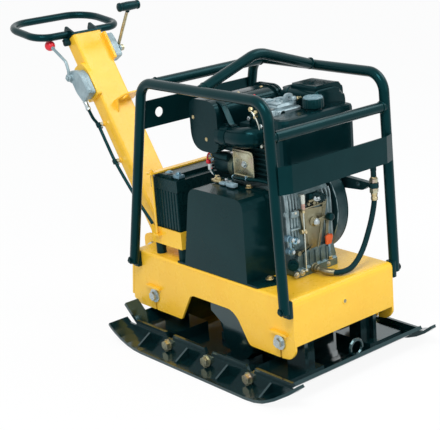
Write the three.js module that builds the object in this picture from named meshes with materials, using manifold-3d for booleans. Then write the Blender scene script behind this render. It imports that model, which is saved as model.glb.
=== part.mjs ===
// Reversible plate compactor: a vibrating base plate under a sprung upper mass that carries a
// diesel engine, a battery, a protective cage and a hinged handle. Millimetres, +Z up.
// +X is the front, +Y the machine's left side, and the origin lies on the ground under the
// centre of the base plate.
import * as THREE from 'three';
import { mergeVertices } from 'three/addons/utils/BufferGeometryUtils.js';
import Module from 'manifold-3d';

const wasm = await Module();
wasm.setup();

// Clearances between pieces that touch, and the smallest step used by cutting tools
const seat = 0.3;
const reach = 400;

// Sides of round shafts and pins, the same for a shaft and its bore
const shaftSides = 14;
const pinSides = 12;
const boltSides = 8;

// A bore wide enough that the corners of the shaft clear its flats as it turns
function turningBore(radius, sides) {
  return radius / Math.cos(Math.PI / sides) + seat;
}

// Base plate and its turned-up ends
const plateHalfLength = 435;
const plateHalfWidth = 287;
const plateThickness = 12;
const noseStart = 259;
const noseRadius = 281;
const tailStart = -255;
const tailRadius = 150;
const tailAngle = 41;
const tailRelief = 46;
const reliefHalfWidth = 232;
const wallHeight = 66;
const wallThickness = 10;
const wallNotchDepth = 20;
const wallNotchWidth = 44;
const patternCentre = 24;
const boltPitch = 206;
const ringRadius = 32;
const ringWire = 6;

// Extension plates bolted along both sides
const extensionWidth = 80;
const extensionThickness = 10;
const extensionFront = 476;
const extensionRear = 428;
const extensionNoseStart = 288;
const extensionTailStart = -250;
const extensionTailRadius = 300;
const extensionCorner = 62;
const flangeThickness = 8;
const flangeHeight = 52;
const gussetReach = 52;
const gussetThickness = 8;
const boltHeight = 30;
const boltRadius = 10;
const boltHeadRadius = 17;
const boltHeadHeight = 13;
const washerRadius = 20;
const washerThickness = 4;

// Posts, rubber mounts and the bolts of the sprung upper mass
const mountFront = 306;
const mountRear = -332;
const mountHeight = 149;
const rubberRadius = 38;
const rubberLength = 52;
const postWidth = 84;
const postThickness = 14;
const pedestalHeight = 50;
const mountHeadRadius = 16;
const mountHeadHeight = 12;
const mountWasherRadius = 25;

// Exciter with its two eccentric shafts
const shaftSpacing = 112;
const shaftHeight = 98;
const boreRadius = 50;
const casingWall = 13;
const casingFarSide = 150;
const casingEndWall = 16;
const gearPocket = 30;
const gearTeeth = 22;
const gearWidth = 22;
const shaftRadius = 17;
const weightRadius = 46;
const coverThickness = 14;

// Upper mass: a bent deck with two side plates
const deckTop = 300;
const deckThickness = 10;
const deckHalfWidth = 222;
const deckFront = 372;
const deckRear = -444;
const deckRearFoot = -470;
const deckBend = 16;
const frontPlateFoot = 147;
const sidePlateThickness = 8;
const sidePlateFoot = 96;
const notchTop = 197;

// Battery, its tray and its hold-down
const batteryLength = 240;
const batteryWidth = 139;
const batteryHeight = 226;
const batteryRear = -322;
const trayFloor = 342;
const trayHeight = 60;
const trayWall = 4;
const trayFootRadius = 17;
const holdDownPlace = -297;
const holdDownWidth = 24;
const rodRadius = 4;

// Belt drive. The crankshaft's height over the deck carries the engine and the cage with it
const crankPlace = 80;
const crankRise = 175;
const crankHeight = deckTop + crankRise;
const clutchRadius = 58;
const exciterPulleyRadius = 52;
const beltWidth = 18;
const beltThickness = 9;
const guardNear = 3 - deckHalfWidth;
const guardDepth = 131;
const guardFar = guardNear + guardDepth;
const beltNear = guardNear + 43;
const guardTop = crankHeight + clutchRadius + 45;
const batterySide = guardNear + 19;
const guardWall = 4;
const guardFootThickness = 6;
const guardFootReach = 46;
const lowerGuardNear = beltNear - 28;
const lowerGuardFar = beltNear + 34;
const lowerGuardRadius = exciterPulleyRadius + 23;
const lowerGuardFoot = 46;

// The exciter's casing starts beside the lower belt guard
const casingNearSide = lowerGuardFar + 22;

// Engine
const crankcaseNear = guardFar + 8;
const crankcaseFar = 110;
const crankcaseRear = -78;
const crankcaseFront = 232;
const crankcaseTop = crankHeight + 115;
const cylinderWidth = 148;
const cylinderLength = 140;
const cylinderTop = crankcaseTop + 155;
const finCount = 9;
const finReach = 9;
const finThickness = 4;
const headTop = cylinderTop + 30;
const rockerTop = headTop + 61;
const fanClearance = 9;
const fanRadius = crankRise - fanClearance;
const fanFar = 184;
const recoilRadius = fanRadius - 48;
const recoilFar = 226;
const tankRear = 165;
const tankFront = 262;
const tankNear = -115;
const tankFar = 202;
const tankBottom = crankcaseTop + 65;
const tankTop = tankBottom + 163;
const capRadius = 34;
const airRear = -157;
const airFront = -22;
const airBottom = headTop - 95;
const airTop = headTop + 77;
const airHalfLength = 140;
const elbowRadius = 30;
const mufflerTop = headTop + 106;
const hoodThickness = 22;

// Protective cage
const tubeRadius = 17;
const cageHeadroom = 30;
const railHalfWidth = deckHalfWidth + tubeRadius + 6;
const railHeight = mufflerTop + cageHeadroom;
const railRear = -264;
const railFront = 341;
const legRear = -407;
const legFront = 360;
const legFoot = deckTop - 38;
const cornerRadius = 62;
const liftingBarPlace = 36;
const liftingBarRise = 78;
const rearBarPlace = -212;
const frontBarHeight = railHeight - 105;
const panelTop = frontBarHeight - 84;
const panelBottom = panelTop - 86;
const panelThickness = 5;
const guardPlateTop = railHeight - 70;
const guardPlateBottom = guardPlateTop - 91;
const guardHoleRadius = 17;
const guardHolePlace = -166;

// Handle
const pivotPlace = -485;
const pivotHeight = 262;
const columnLean = 32.9;
const columnWidth = 125;
const columnDepth = 62;
const columnLength = 851;
const pinRadius = 14;
const lugSpread = 98;
const lugThickness = 10;
const lugRadius = 44;
const loopTubeRadius = 14;
const loopHalfWidth = 186;
const loopDepth = 228;
const topPlateThickness = 8;
const ballRadius = 19;
const gripRadius = 17;
const gripLength = 92;
const cableRadius = 6;
const hoseRadius = 9;
const hoseTop = [328, 198, crankHeight + 143];
const fittingBottom = crankHeight + 45;
const fittingTop = crankHeight + 108;
const fittingRadius = 11;
const gripPlace = [186, columnLength + 5];

const yellow = { color: 0xf0c03c, roughness: 0.4, metalness: 0.1 };
const black = { color: 0x1b2628, roughness: 0.32, metalness: 0.2 };
const castBlack = { color: 0x202627, roughness: 0.55, metalness: 0.3 };
const grey = { color: 0xa9b2b3, roughness: 0.5, metalness: 0.7 };
const steel = { color: 0xb9b6a8, roughness: 0.35, metalness: 0.9 };
const brass = { color: 0xb39a58, roughness: 0.4, metalness: 0.8 };
const rubber = { color: 0x161718, roughness: 0.85, metalness: 0 };

const compactor = new THREE.Group();

function add(name, geometry, look, parent = compactor) {
  const mesh = new THREE.Mesh(geometry, new THREE.MeshStandardMaterial(look));
  mesh.name = name;
  parent.add(mesh);
  return mesh;
}

// Boolean helpers: geometries go in and one geometry comes out
function toSolid(geometry) {
  const bare = new THREE.BufferGeometry();
  bare.setAttribute('position', geometry.attributes.position.clone());
  if (geometry.index) bare.setIndex(geometry.index.clone());
  const merged = mergeVertices(bare, 1e-3);
  return new wasm.Manifold(new wasm.Mesh({
    numProp: 3,
    vertProperties: Float32Array.from(merged.attributes.position.array),
    triVerts: Uint32Array.from(merged.index.array),
  }));
}

function toGeometry(solid) {
  const mesh = solid.getMesh();
  const geometry = new THREE.BufferGeometry();
  geometry.setAttribute('position', new THREE.BufferAttribute(new Float32Array(mesh.vertProperties), 3));
  geometry.setIndex(new THREE.BufferAttribute(new Uint32Array(mesh.triVerts), 1));
  geometry.computeVertexNormals();
  return geometry;
}

function join(...pieces) {
  return toGeometry(pieces.map(toSolid).reduce((whole, piece) => whole.add(piece)));
}

function cut(body, ...tools) {
  return toGeometry(tools.map(toSolid).reduce((whole, tool) => whole.subtract(tool), toSolid(body)));
}

function common(body, ...others) {
  return toGeometry(others.map(toSolid).reduce((whole, other) => whole.intersect(other), toSolid(body)));
}

// Outline helpers
// A closed outline through corner points [x, y, radius], each corner rounded by its radius
function outline(corners) {
  const shape = new THREE.Shape();
  const count = corners.length;
  corners.forEach(([x, y, radius = 0], i) => {
    const here = new THREE.Vector2(x, y);
    const before = new THREE.Vector2(...corners[(i + count - 1) % count].slice(0, 2)).sub(here);
    const after = new THREE.Vector2(...corners[(i + 1) % count].slice(0, 2)).sub(here);
    const room = Math.min(radius, before.length() * 0.49, after.length() * 0.49);
    const entry = here.clone().addScaledVector(before.normalize(), room);
    const exit = here.clone().addScaledVector(after.normalize(), room);
    if (i === 0) shape.moveTo(entry.x, entry.y);
    else shape.lineTo(entry.x, entry.y);
    if (room > 0) shape.quadraticCurveTo(x, y, exit.x, exit.y);
  });
  shape.closePath();
  return shape;
}

function rectangle(x0, y0, x1, y1, radius = 0) {
  return outline([[x0, y0, radius], [x1, y0, radius], [x1, y1, radius], [x0, y1, radius]]);
}

function disc(x, y, radius) {
  const shape = new THREE.Shape();
  shape.absarc(x, y, radius, 0, Math.PI * 2, false);
  return shape;
}

// A strip of even thickness above a line of points, as a closed outline
function strip(line, thickness) {
  const upper = line.map((point, i) => {
    const before = line[Math.max(i - 1, 0)];
    const after = line[Math.min(i + 1, line.length - 1)];
    const along = after.clone().sub(before).normalize();
    return point.clone().add(new THREE.Vector2(-along.y, along.x).multiplyScalar(thickness));
  });
  return new THREE.Shape([...line, ...upper.reverse()]);
}

// Extrusions of an outline along one axis. Outlines are (x, z) along Y, (y, z) along X, (x, y) along Z
function prism(shape, depth, curveSegments, bevel, bevelSegments = 1) {
  const bevelled = bevel > 0;
  const geometry = new THREE.ExtrudeGeometry(shape, {
    depth: depth - (bevelled ? 2 * bevel : 0), curveSegments, steps: 1, bevelEnabled: bevelled,
    bevelSize: bevel, bevelThickness: bevel, bevelOffset: -bevel, bevelSegments,
  });
  return bevelled ? geometry.translate(0, 0, bevel) : geometry;
}

function alongY(shape, y0, y1, { segments = 4, bevel = 0, steps = 1 } = {}) {
  return prism(shape, y1 - y0, segments, bevel, steps).rotateX(Math.PI / 2).translate(0, y1, 0);
}

function alongX(shape, x0, x1, { segments = 4, bevel = 0, steps = 1 } = {}) {
  const turn = new THREE.Matrix4().makeBasis(
    new THREE.Vector3(0, 1, 0), new THREE.Vector3(0, 0, 1), new THREE.Vector3(1, 0, 0));
  return prism(shape, x1 - x0, segments, bevel, steps).applyMatrix4(turn).translate(x0, 0, 0);
}

function alongZ(shape, z0, z1, { segments = 4, bevel = 0, steps = 1 } = {}) {
  return prism(shape, z1 - z0, segments, bevel, steps).translate(0, 0, z0);
}

function block(x0, x1, y0, y1, z0, z1) {
  return new THREE.BoxGeometry(x1 - x0, y1 - y0, z1 - z0)
    .translate((x0 + x1) / 2, (y0 + y1) / 2, (z0 + z1) / 2);
}

// A round bar between two points
function bar(from, to, radius, sides = 16) {
  const start = new THREE.Vector3(...from);
  const span = new THREE.Vector3(...to).sub(start);
  const turn = new THREE.Quaternion().setFromUnitVectors(
    new THREE.Vector3(0, 1, 0), span.clone().normalize());
  return new THREE.CylinderGeometry(radius, radius, span.length(), sides)
    .applyQuaternion(turn).translate(...start.addScaledVector(span, 0.5).toArray());
}

// A route through corner points whose bends are arcs, with rings only where the route turns
class BentRoute extends THREE.Curve {
  constructor(corners, bendRadius, bendSteps = 6) {
    super();
    const points = corners.map((corner) => new THREE.Vector3(...corner));
    this.stations = [points[0]];
    this.tangents = [points[1].clone().sub(points[0]).normalize()];
    for (let i = 1; i < points.length - 1; i += 1) {
      const incoming = points[i].clone().sub(points[i - 1]);
      const outgoing = points[i + 1].clone().sub(points[i]);
      const limit = Math.min(incoming.length(), outgoing.length()) * 0.49;
      incoming.normalize();
      outgoing.normalize();
      const angle = incoming.angleTo(outgoing);
      const trim = Math.min(bendRadius * Math.tan(angle / 2), limit);
      const radius = trim / Math.tan(angle / 2);
      const start = points[i].clone().addScaledVector(incoming, -trim);
      const inward = outgoing.clone().addScaledVector(incoming, -outgoing.dot(incoming)).normalize();
      for (let step = 0; step <= bendSteps; step += 1) {
        const turned = (angle * step) / bendSteps;
        this.stations.push(start.clone()
          .addScaledVector(incoming, radius * Math.sin(turned))
          .addScaledVector(inward, radius * (1 - Math.cos(turned))));
        this.tangents.push(incoming.clone().multiplyScalar(Math.cos(turned))
          .addScaledVector(inward, Math.sin(turned)).normalize());
      }
    }
    this.stations.push(points[points.length - 1]);
    this.tangents.push(points[points.length - 1].clone().sub(points[points.length - 2]).normalize());
  }

  getPoint(t, target = new THREE.Vector3()) {
    const place = t * (this.stations.length - 1);
    const i = Math.min(Math.floor(place + 1e-6), this.stations.length - 2);
    return target.copy(this.stations[i]).lerp(this.stations[i + 1], place - i);
  }

  getPointAt(u, target) {
    return this.getPoint(u, target);
  }

  getTangentAt(u, target = new THREE.Vector3()) {
    const i = Math.round(u * (this.stations.length - 1));
    return target.copy(this.tangents[i]);
  }
}

function tube(corners, radius, bendRadius, { sides = 16, bendSteps = 6 } = {}) {
  const route = new BentRoute(corners, bendRadius, bendSteps);
  const steps = route.stations.length - 1;
  return new THREE.ExtrudeGeometry(disc(0, 0, radius), {
    steps, curveSegments: sides / 2, extrudePath: route,
  });
}

// A smooth hose through points chosen by hand
function hose(points, radius, { sides = 8, steps = 40 } = {}) {
  const path = new THREE.CatmullRomCurve3(points.map((point) => new THREE.Vector3(...point)));
  return new THREE.ExtrudeGeometry(disc(0, 0, radius), {
    steps, curveSegments: sides / 2, extrudePath: path,
  });
}

// A round piece with its axis along Y: profile pairs are [radius, y]
function turnedY(profile, x, z, sides = 28) {
  const points = profile.map(([radius, y]) => new THREE.Vector2(radius, y));
  return new THREE.LatheGeometry(points, sides).translate(x, 0, z);
}

const mirrored = [['right', -1], ['left', 1]];
const radians = THREE.MathUtils.degToRad;

// Underside of a plate that is flat on the ground and turned up at both ends
function skidLine(rearTip, tailFrom, radius, angle, noseFrom, noseBend, frontTip) {
  const line = [];
  const lift = radius * (1 - Math.cos(radians(angle)));
  const back = radius * Math.sin(radians(angle));
  const straight = tailFrom - back - rearTip;
  if (straight > 0) line.push(new THREE.Vector2(rearTip, lift + straight * Math.tan(radians(angle))));
  const tailTurn = straight > 0 ? angle : THREE.MathUtils.radToDeg(Math.asin((tailFrom - rearTip) / radius));
  const turns = 5;
  for (let i = turns; i >= 0; i -= 1) {
    const turned = radians((tailTurn * i) / turns);
    line.push(new THREE.Vector2(tailFrom - radius * Math.sin(turned), radius * (1 - Math.cos(turned))));
  }
  const noseTurn = Math.asin((frontTip - noseFrom) / noseBend);
  for (let i = 0; i <= turns; i += 1) {
    const turned = (noseTurn * i) / turns;
    line.push(new THREE.Vector2(noseFrom + noseBend * Math.sin(turned), noseBend * (1 - Math.cos(turned))));
  }
  return line;
}

const plateLine = skidLine(-plateHalfLength, tailStart, tailRadius, tailAngle,
  noseStart, noseRadius, plateHalfLength);
const extensionLine = skidLine(-extensionRear, extensionTailStart, extensionTailRadius, 90,
  extensionNoseStart, noseRadius, extensionFront);
const boltPlaces = [-1, 0, 1].map((step) => patternCentre + step * boltPitch);
const gussetPlaces = [-1.5, -0.5, 0.5, 1.5].map((step) => patternCentre + step * boltPitch);
const mountPlaces = [['rear', mountRear], ['front', mountFront]];
const flangeFace = plateHalfWidth + seat + flangeThickness;

// Region above a skid line and below a level top
function wallOutline(line, from, to, top, notches = []) {
  const lower = line.filter((point) => point.x > from && point.x < to)
    .map((point) => new THREE.Vector2(point.x, point.y));
  const upper = [new THREE.Vector2(to, top)];
  notches.slice().reverse().forEach(({ place, width, depth }) => {
    upper.push(new THREE.Vector2(place + width / 2, top));
    upper.push(new THREE.Vector2(place + width / 2 - depth / 2, top - depth));
    upper.push(new THREE.Vector2(place - width / 2 + depth / 2, top - depth));
    upper.push(new THREE.Vector2(place - width / 2, top));
  });
  upper.push(new THREE.Vector2(from, top));
  return new THREE.Shape([...lower, ...upper]);
}

// Where a skid line reaches a height, at its rear or front end
function crossing(line, height, side) {
  const ordered = side < 0 ? line : line.slice().reverse();
  for (let i = 0; i < ordered.length - 1; i += 1) {
    const [high, low] = [ordered[i], ordered[i + 1]];
    if (high.y >= height && low.y < height) {
      return low.x + ((high.x - low.x) * (height - low.y)) / (high.y - low.y);
    }
  }
  return ordered[0].x;
}

// A hexagonal bolt head with its washer, seated on a side face and pointing outwards
function boltHead(x, z, face, side, headRadius, headHeight, washRadius, washHeight) {
  const washer = bar([x, side * face, z], [x, side * (face + washHeight), z], washRadius, 10);
  const head = bar([x, side * (face + washHeight - 0.5), z],
    [x, side * (face + washHeight + headHeight), z], headRadius, 6);
  return join(washer, head);
}

function sorted(a, b) {
  return [Math.min(a, b), Math.max(a, b)];
}

// A block measured outwards from the middle plane on one side
function sideBlock(x0, x1, side, y0, y1, z0, z1) {
  const [from, to] = sorted(side * y0, side * y1);
  return block(x0, x1, from, to, z0, z1);
}

function sidePrism(shape, side, y0, y1, options) {
  const [from, to] = sorted(side * y0, side * y1);
  return alongY(shape, from, to, options);
}

const rubberOuter = deckHalfWidth - sidePlateThickness - seat;
const rubberInner = rubberOuter - rubberLength;

// One mounting post: a low pedestal and an upright box section that ends in a round head
function post(place, side) {
  const half = postWidth / 2;
  const foot = plateThickness / 2;
  const outer = rubberInner - seat;
  const head = mountHeight + half;
  const face = outline([[place - half, foot], [place + half, foot], [place + half, head, half],
    [place - half, head, half]]);
  const boxHalf = 26;
  const boxReach = 56;
  const box = outline([[side * (outer - 2), foot], [side * (outer - boxReach), foot],
    [side * (outer - boxReach), 132], [side * (outer - 30), 180], [side * (outer - 2), 180]]);
  const padRear = place < 0 ? place - 34 : place - 91;
  const padFront = place < 0 ? place + 132 : place + 66;
  return [
    sidePrism(face, side, outer - postThickness, outer, { segments: 6 }),
    alongX(box, place - boxHalf, place + boxHalf),
    sideBlock(padRear, padFront, side, outer - boxReach, 252, foot, pedestalHeight),
  ];
}

function aboveSkid(line, extent) {
  return alongY(wallOutline(line, line[0].x - 1, line[line.length - 1].x + 1, reach), -extent, extent);
}

function basePlate() {
  const plate = alongY(strip(plateLine, plateThickness), -plateHalfWidth, plateHalfWidth);
  const wallFrom = crossing(plateLine, wallHeight - plateThickness, -1);
  const wallTo = crossing(plateLine, wallHeight - plateThickness, 1);
  const notches = boltPlaces.map((place) => ({ place, width: wallNotchWidth, depth: wallNotchDepth }));
  const pieces = [plate];
  mirrored.forEach(([, side]) => {
    pieces.push(sidePrism(wallOutline(plateLine, wallFrom, wallTo, wallHeight, notches), side,
      plateHalfWidth - wallThickness, plateHalfWidth));
  });
  const posts = mirrored.flatMap(([, side]) => mountPlaces.flatMap(([, place]) => post(place, side)));
  pieces.push(common(join(...posts), aboveSkid(plateLine, plateHalfWidth)));
  const ringPlace = plateHalfLength - 2 * plateThickness;
  const ringFoot = noseRadius - Math.sqrt(noseRadius ** 2 - (ringPlace - noseStart) ** 2);
  pieces.push(new THREE.TorusGeometry(ringRadius - ringWire, ringWire, 6, 14).rotateY(Math.PI / 2)
    .translate(ringPlace, 0, ringFoot + plateThickness + ringRadius - ringWire / 2));
  const holes = mirrored.flatMap(([, side]) => boltPlaces.map((place) => bar(
    [place, side * (plateHalfWidth - 2 * wallThickness), boltHeight],
    [place, side * (plateHalfWidth + wallThickness), boltHeight], boltRadius + seat, boltSides)));
  const relief = block(-plateHalfLength - 20, -plateHalfLength + tailRelief, -reliefHalfWidth,
    reliefHalfWidth, 0, reach);
  return cut(join(...pieces), ...holes, relief);
}

function extensionPlate(side) {
  const inner = plateHalfWidth + seat;
  const outer = plateHalfWidth + seat + extensionWidth;
  const tray = sidePrism(strip(extensionLine, extensionThickness), side, inner, outer);
  const plan = outline([
    [-extensionRear - 20, side * inner], [extensionFront + 20, side * inner],
    [extensionFront + 20, side * (inner + 8)], [extensionFront - 40, side * (inner + 44)],
    [extensionFront - extensionCorner - 30, side * outer, 40], [-extensionRear - 20, side * outer, 30],
  ]);
  const flangeFrom = crossing(extensionLine, flangeHeight - extensionThickness, -1);
  const flangeTo = crossing(extensionLine, flangeHeight - extensionThickness, 1);
  const flange = sidePrism(wallOutline(extensionLine, flangeFrom, flangeTo, flangeHeight), side,
    inner, inner + flangeThickness);
  const ribs = gussetPlaces.map((place) => {
    const foot = extensionThickness / 2;
    const root = side * (flangeFace - 1);
    const tip = side * (flangeFace + gussetReach);
    return alongX(outline([[root, foot], [tip, foot], [tip, extensionThickness + 4],
      [root, flangeHeight - 6]]), place - gussetThickness / 2, place + gussetThickness / 2);
  });
  const holes = boltPlaces.map((place) => bar([place, side * (inner - 10), boltHeight],
    [place, side * (inner + 20), boltHeight], boltRadius + seat, boltSides));
  const shaped = common(tray, alongZ(plan, -10, reach, { segments: 6 }));
  return cut(join(shaped, flange, ...ribs), ...holes);
}

function extensionBolt(place, side) {
  const face = flangeFace + seat;
  const nutFace = plateHalfWidth - wallThickness - seat;
  const head = boltHead(place, boltHeight, face, side, boltHeadRadius, boltHeadHeight,
    washerRadius, washerThickness);
  const shank = bar([place, side * (nutFace - 16), boltHeight], [place, side * (face + 1), boltHeight],
    boltRadius, boltSides);
  const nut = bar([place, side * (nutFace - 12), boltHeight], [place, side * nutFace, boltHeight],
    boltHeadRadius, 6);
  return join(head, shank, nut);
}

add('base_plate', basePlate(), black);
mirrored.forEach(([label, side]) => {
  add(`extension_plate_${label}`, extensionPlate(side), black);
  ['rear', 'middle', 'front'].forEach((spot, i) => {
    add(`extension_bolt_${label}_${spot}`, extensionBolt(boltPlaces[i], side), steel);
  });
});

// Exciter: one casting with two bores and a gear pocket, closed by a cover on the belt side
const shaftPlaces = [patternCentre - shaftSpacing / 2, patternCentre + shaftSpacing / 2];
const casingBottom = plateThickness + seat;
const lobeRadius = boreRadius + casingWall;
const gearTip = shaftSpacing / 2 + 2.4;

function stadium(radius, x0 = shaftPlaces[0], x1 = shaftPlaces[1], z = shaftHeight) {
  const shape = new THREE.Shape();
  shape.absarc(x0, z, radius, Math.PI / 2, Math.PI * 1.5, false);
  shape.absarc(x1, z, radius, -Math.PI / 2, Math.PI / 2, false);
  shape.closePath();
  return shape;
}

function exciterHousing() {
  const lobes = shaftPlaces.map((place) => alongY(disc(place, shaftHeight, lobeRadius),
    casingNearSide, casingFarSide, { segments: 7 }));
  const foot = block(shaftPlaces[0] - 78, shaftPlaces[1] + 78, casingNearSide, casingFarSide,
    casingBottom, shaftHeight - lobeRadius + 3);
  const rim = alongY(stadium(lobeRadius), casingNearSide, casingNearSide + gearPocket + 8,
    { segments: 7 });
  const bores = shaftPlaces.map((place) => alongY(disc(place, shaftHeight, boreRadius),
    casingNearSide - 1, casingFarSide - casingEndWall, { segments: 7 }));
  const seats = shaftPlaces.map((place) => bar([place, casingFarSide - casingEndWall - 2, shaftHeight],
    [place, casingFarSide - 4, shaftHeight], turningBore(shaftRadius, shaftSides), shaftSides));
  const pocket = alongY(stadium(gearTip + 1.4), casingNearSide - 1, casingNearSide + gearPocket,
    { segments: 7 });
  return cut(join(...lobes, foot, rim), ...bores, ...seats, pocket);
}

function exciterCover() {
  const near = casingNearSide - seat - coverThickness;
  const plate = alongY(stadium(lobeRadius), near, casingNearSide - seat, { segments: 7 });
  const screws = [[-1, 1], [1, 1], [-1, -1], [1, -1]].map(([across, upward]) => bar(
    [patternCentre + across * (shaftSpacing / 2 + 38), near - 5, shaftHeight + upward * 38],
    [patternCentre + across * (shaftSpacing / 2 + 38), near + 1, shaftHeight + upward * 38], 7, 6));
  const through = bar([shaftPlaces[1], near - 10, shaftHeight],
    [shaftPlaces[1], casingNearSide + 1, shaftHeight], turningBore(shaftRadius, shaftSides), shaftSides);
  const blind = bar([shaftPlaces[0], near + 5, shaftHeight],
    [shaftPlaces[0], casingNearSide + 1, shaftHeight], turningBore(shaftRadius, shaftSides), shaftSides);
  return cut(join(plate, ...screws), through, blind);
}

// A spur gear as one closed outline: teeth stand between a root and a tip circle
function gearOutline(x, z, pitch, phase) {
  const shape = new THREE.Shape();
  const step = (Math.PI * 2) / gearTeeth;
  for (let i = 0; i < gearTeeth; i += 1) {
    const flank = [[-0.3, pitch - 3.4], [-0.15, pitch + 2.2], [0.15, pitch + 2.2], [0.3, pitch - 3.4]];
    flank.forEach(([part, radius], j) => {
      const angle = phase + (i + part) * step;
      const point = [x + radius * Math.cos(angle), z + radius * Math.sin(angle)];
      if (i === 0 && j === 0) shape.moveTo(...point);
      else shape.lineTo(...point);
    });
  }
  shape.closePath();
  return shape;
}

// The weights hang straight down while the machine stands still
function eccentricShaft(place, phase, nearEnd) {
  const shaft = bar([place, nearEnd, shaftHeight], [place, casingFarSide - 6, shaftHeight],
    shaftRadius, shaftSides);
  const gear = alongY(gearOutline(place, shaftHeight, shaftSpacing / 2, phase),
    casingNearSide + 4, casingNearSide + 4 + gearWidth);
  const weight = new THREE.Shape();
  weight.absarc(place, shaftHeight, weightRadius, -Math.PI, 0, false);
  weight.lineTo(place + shaftRadius + 6, shaftHeight + 8);
  weight.lineTo(place - shaftRadius - 6, shaftHeight + 8);
  weight.closePath();
  const blocks = [[casingNearSide + gearPocket + 12, 10], [35, casingFarSide - casingEndWall - 12]]
    .map(([from, to]) => alongY(weight, from, to, { segments: 5 }));
  return join(shaft, gear, ...blocks);
}

// A belt pulley: a grooved rim on a hub, turned about its shaft
function pulleyProfile(radius, middle, halfWidth) {
  const floor = radius - beltThickness - 2;
  const near = middle - halfWidth;
  const far = middle + halfWidth;
  const lip = beltWidth / 2 + seat;
  return [[0, near], [radius - 4, near], [radius, near + 3], [radius, middle - lip - 1],
    [floor, middle - lip], [floor, middle + lip], [radius, middle + lip + 1], [radius, far - 3],
    [radius - 4, far], [0, far]];
}

const beltMiddle = beltNear + beltWidth / 2;
const halfTooth = Math.PI / gearTeeth;
const drivenShaft = join(
  eccentricShaft(shaftPlaces[1], 0, beltMiddle),
  turnedY(pulleyProfile(exciterPulleyRadius, beltMiddle, 17), shaftPlaces[1], shaftHeight, 16),
);
add('exciter_housing', exciterHousing(), castBlack);
add('exciter_cover', exciterCover(), castBlack);
add('eccentric_shaft_front', drivenShaft, steel);
add('eccentric_shaft_rear', eccentricShaft(shaftPlaces[0], halfTooth,
  casingNearSide - seat - coverThickness + 6), steel);

// Lower belt guard: a shell round the exciter pulley, open towards the exciter and upwards
function lowerGuardOutline(grow, top) {
  const radius = lowerGuardRadius + grow;
  const shape = new THREE.Shape();
  const place = shaftPlaces[1];
  shape.moveTo(place - 130 - grow, top);
  shape.lineTo(place - 130 - grow, top - 26);
  shape.lineTo(place - radius * 0.94, shaftHeight + radius * 0.34);
  shape.absarc(place, shaftHeight, radius, radians(160), radians(380), false);
  shape.lineTo(place + 70 + grow, top);
  shape.closePath();
  return shape;
}

function lowerGuard() {
  const top = 186;
  const outer = alongY(lowerGuardOutline(0, top), lowerGuardNear, lowerGuardFar, { segments: 6 });
  const inner = alongY(lowerGuardOutline(-guardWall, top + 10), lowerGuardNear + guardWall,
    lowerGuardFar + 1, { segments: 6 });
  const foot = block(shaftPlaces[1] - lowerGuardFoot, shaftPlaces[1] + lowerGuardFoot, lowerGuardNear,
    lowerGuardFar, casingBottom, 31);
  const hollow = alongY(disc(shaftPlaces[1], shaftHeight, lowerGuardRadius - guardWall),
    lowerGuardNear + guardWall,
    lowerGuardFar + 1, { segments: 6 });
  return cut(join(outer, foot), inner, hollow);
}

add('lower_belt_guard', lowerGuard(), black);

// Rubber mounts and the bolts that hold them through the side plates
mirrored.forEach(([label, side]) => {
  mountPlaces.forEach(([spot, place]) => {
    const profile = [[0, rubberInner], [rubberRadius, rubberInner], [rubberRadius - 5, rubberInner + 10],
      [rubberRadius - 5, rubberOuter - 10], [rubberRadius, rubberOuter], [0, rubberOuter]];
    const ordered = side > 0 ? profile : profile.map(([radius, y]) => [radius, -y]).reverse();
    const thread = bar([place, side * (rubberOuter - 22), mountHeight],
      [place, side * (rubberOuter + 5), mountHeight], boltRadius + seat, boltSides);
    add(`rubber_mount_${label}_${spot}`, cut(turnedY(ordered, place, mountHeight, 12), thread), rubber);
    const shank = bar([place, side * (rubberOuter - 20), mountHeight],
      [place, side * (deckHalfWidth + seat + 2), mountHeight], boltRadius, boltSides);
    add(`mount_bolt_${label}_${spot}`, join(shank, boltHead(place, mountHeight, deckHalfWidth + seat,
      side, mountHeadRadius, mountHeadHeight, mountWasherRadius, 5)), steel);
  });
});

// Upper mass: a sheet bent down at both ends, with a side plate under each edge
const underDeck = deckTop - deckThickness;
const rearSlope = (deckRear - deckRearFoot) / (deckTop - 125);

function lugOutline() {
  return outline([[deckRear + 2, deckTop - 16, 10], [pivotPlace + 14, pivotHeight + lugRadius + 4, 30],
    [pivotPlace - lugRadius - 4, pivotHeight + lugRadius + 4, 52],
    [pivotPlace - lugRadius - 4, pivotHeight - lugRadius - 4, 52],
    [pivotPlace + 14, pivotHeight - lugRadius - 4, 30],
    [deckRear - rearSlope * 90 + 2, deckTop - 110]]);
}

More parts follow.
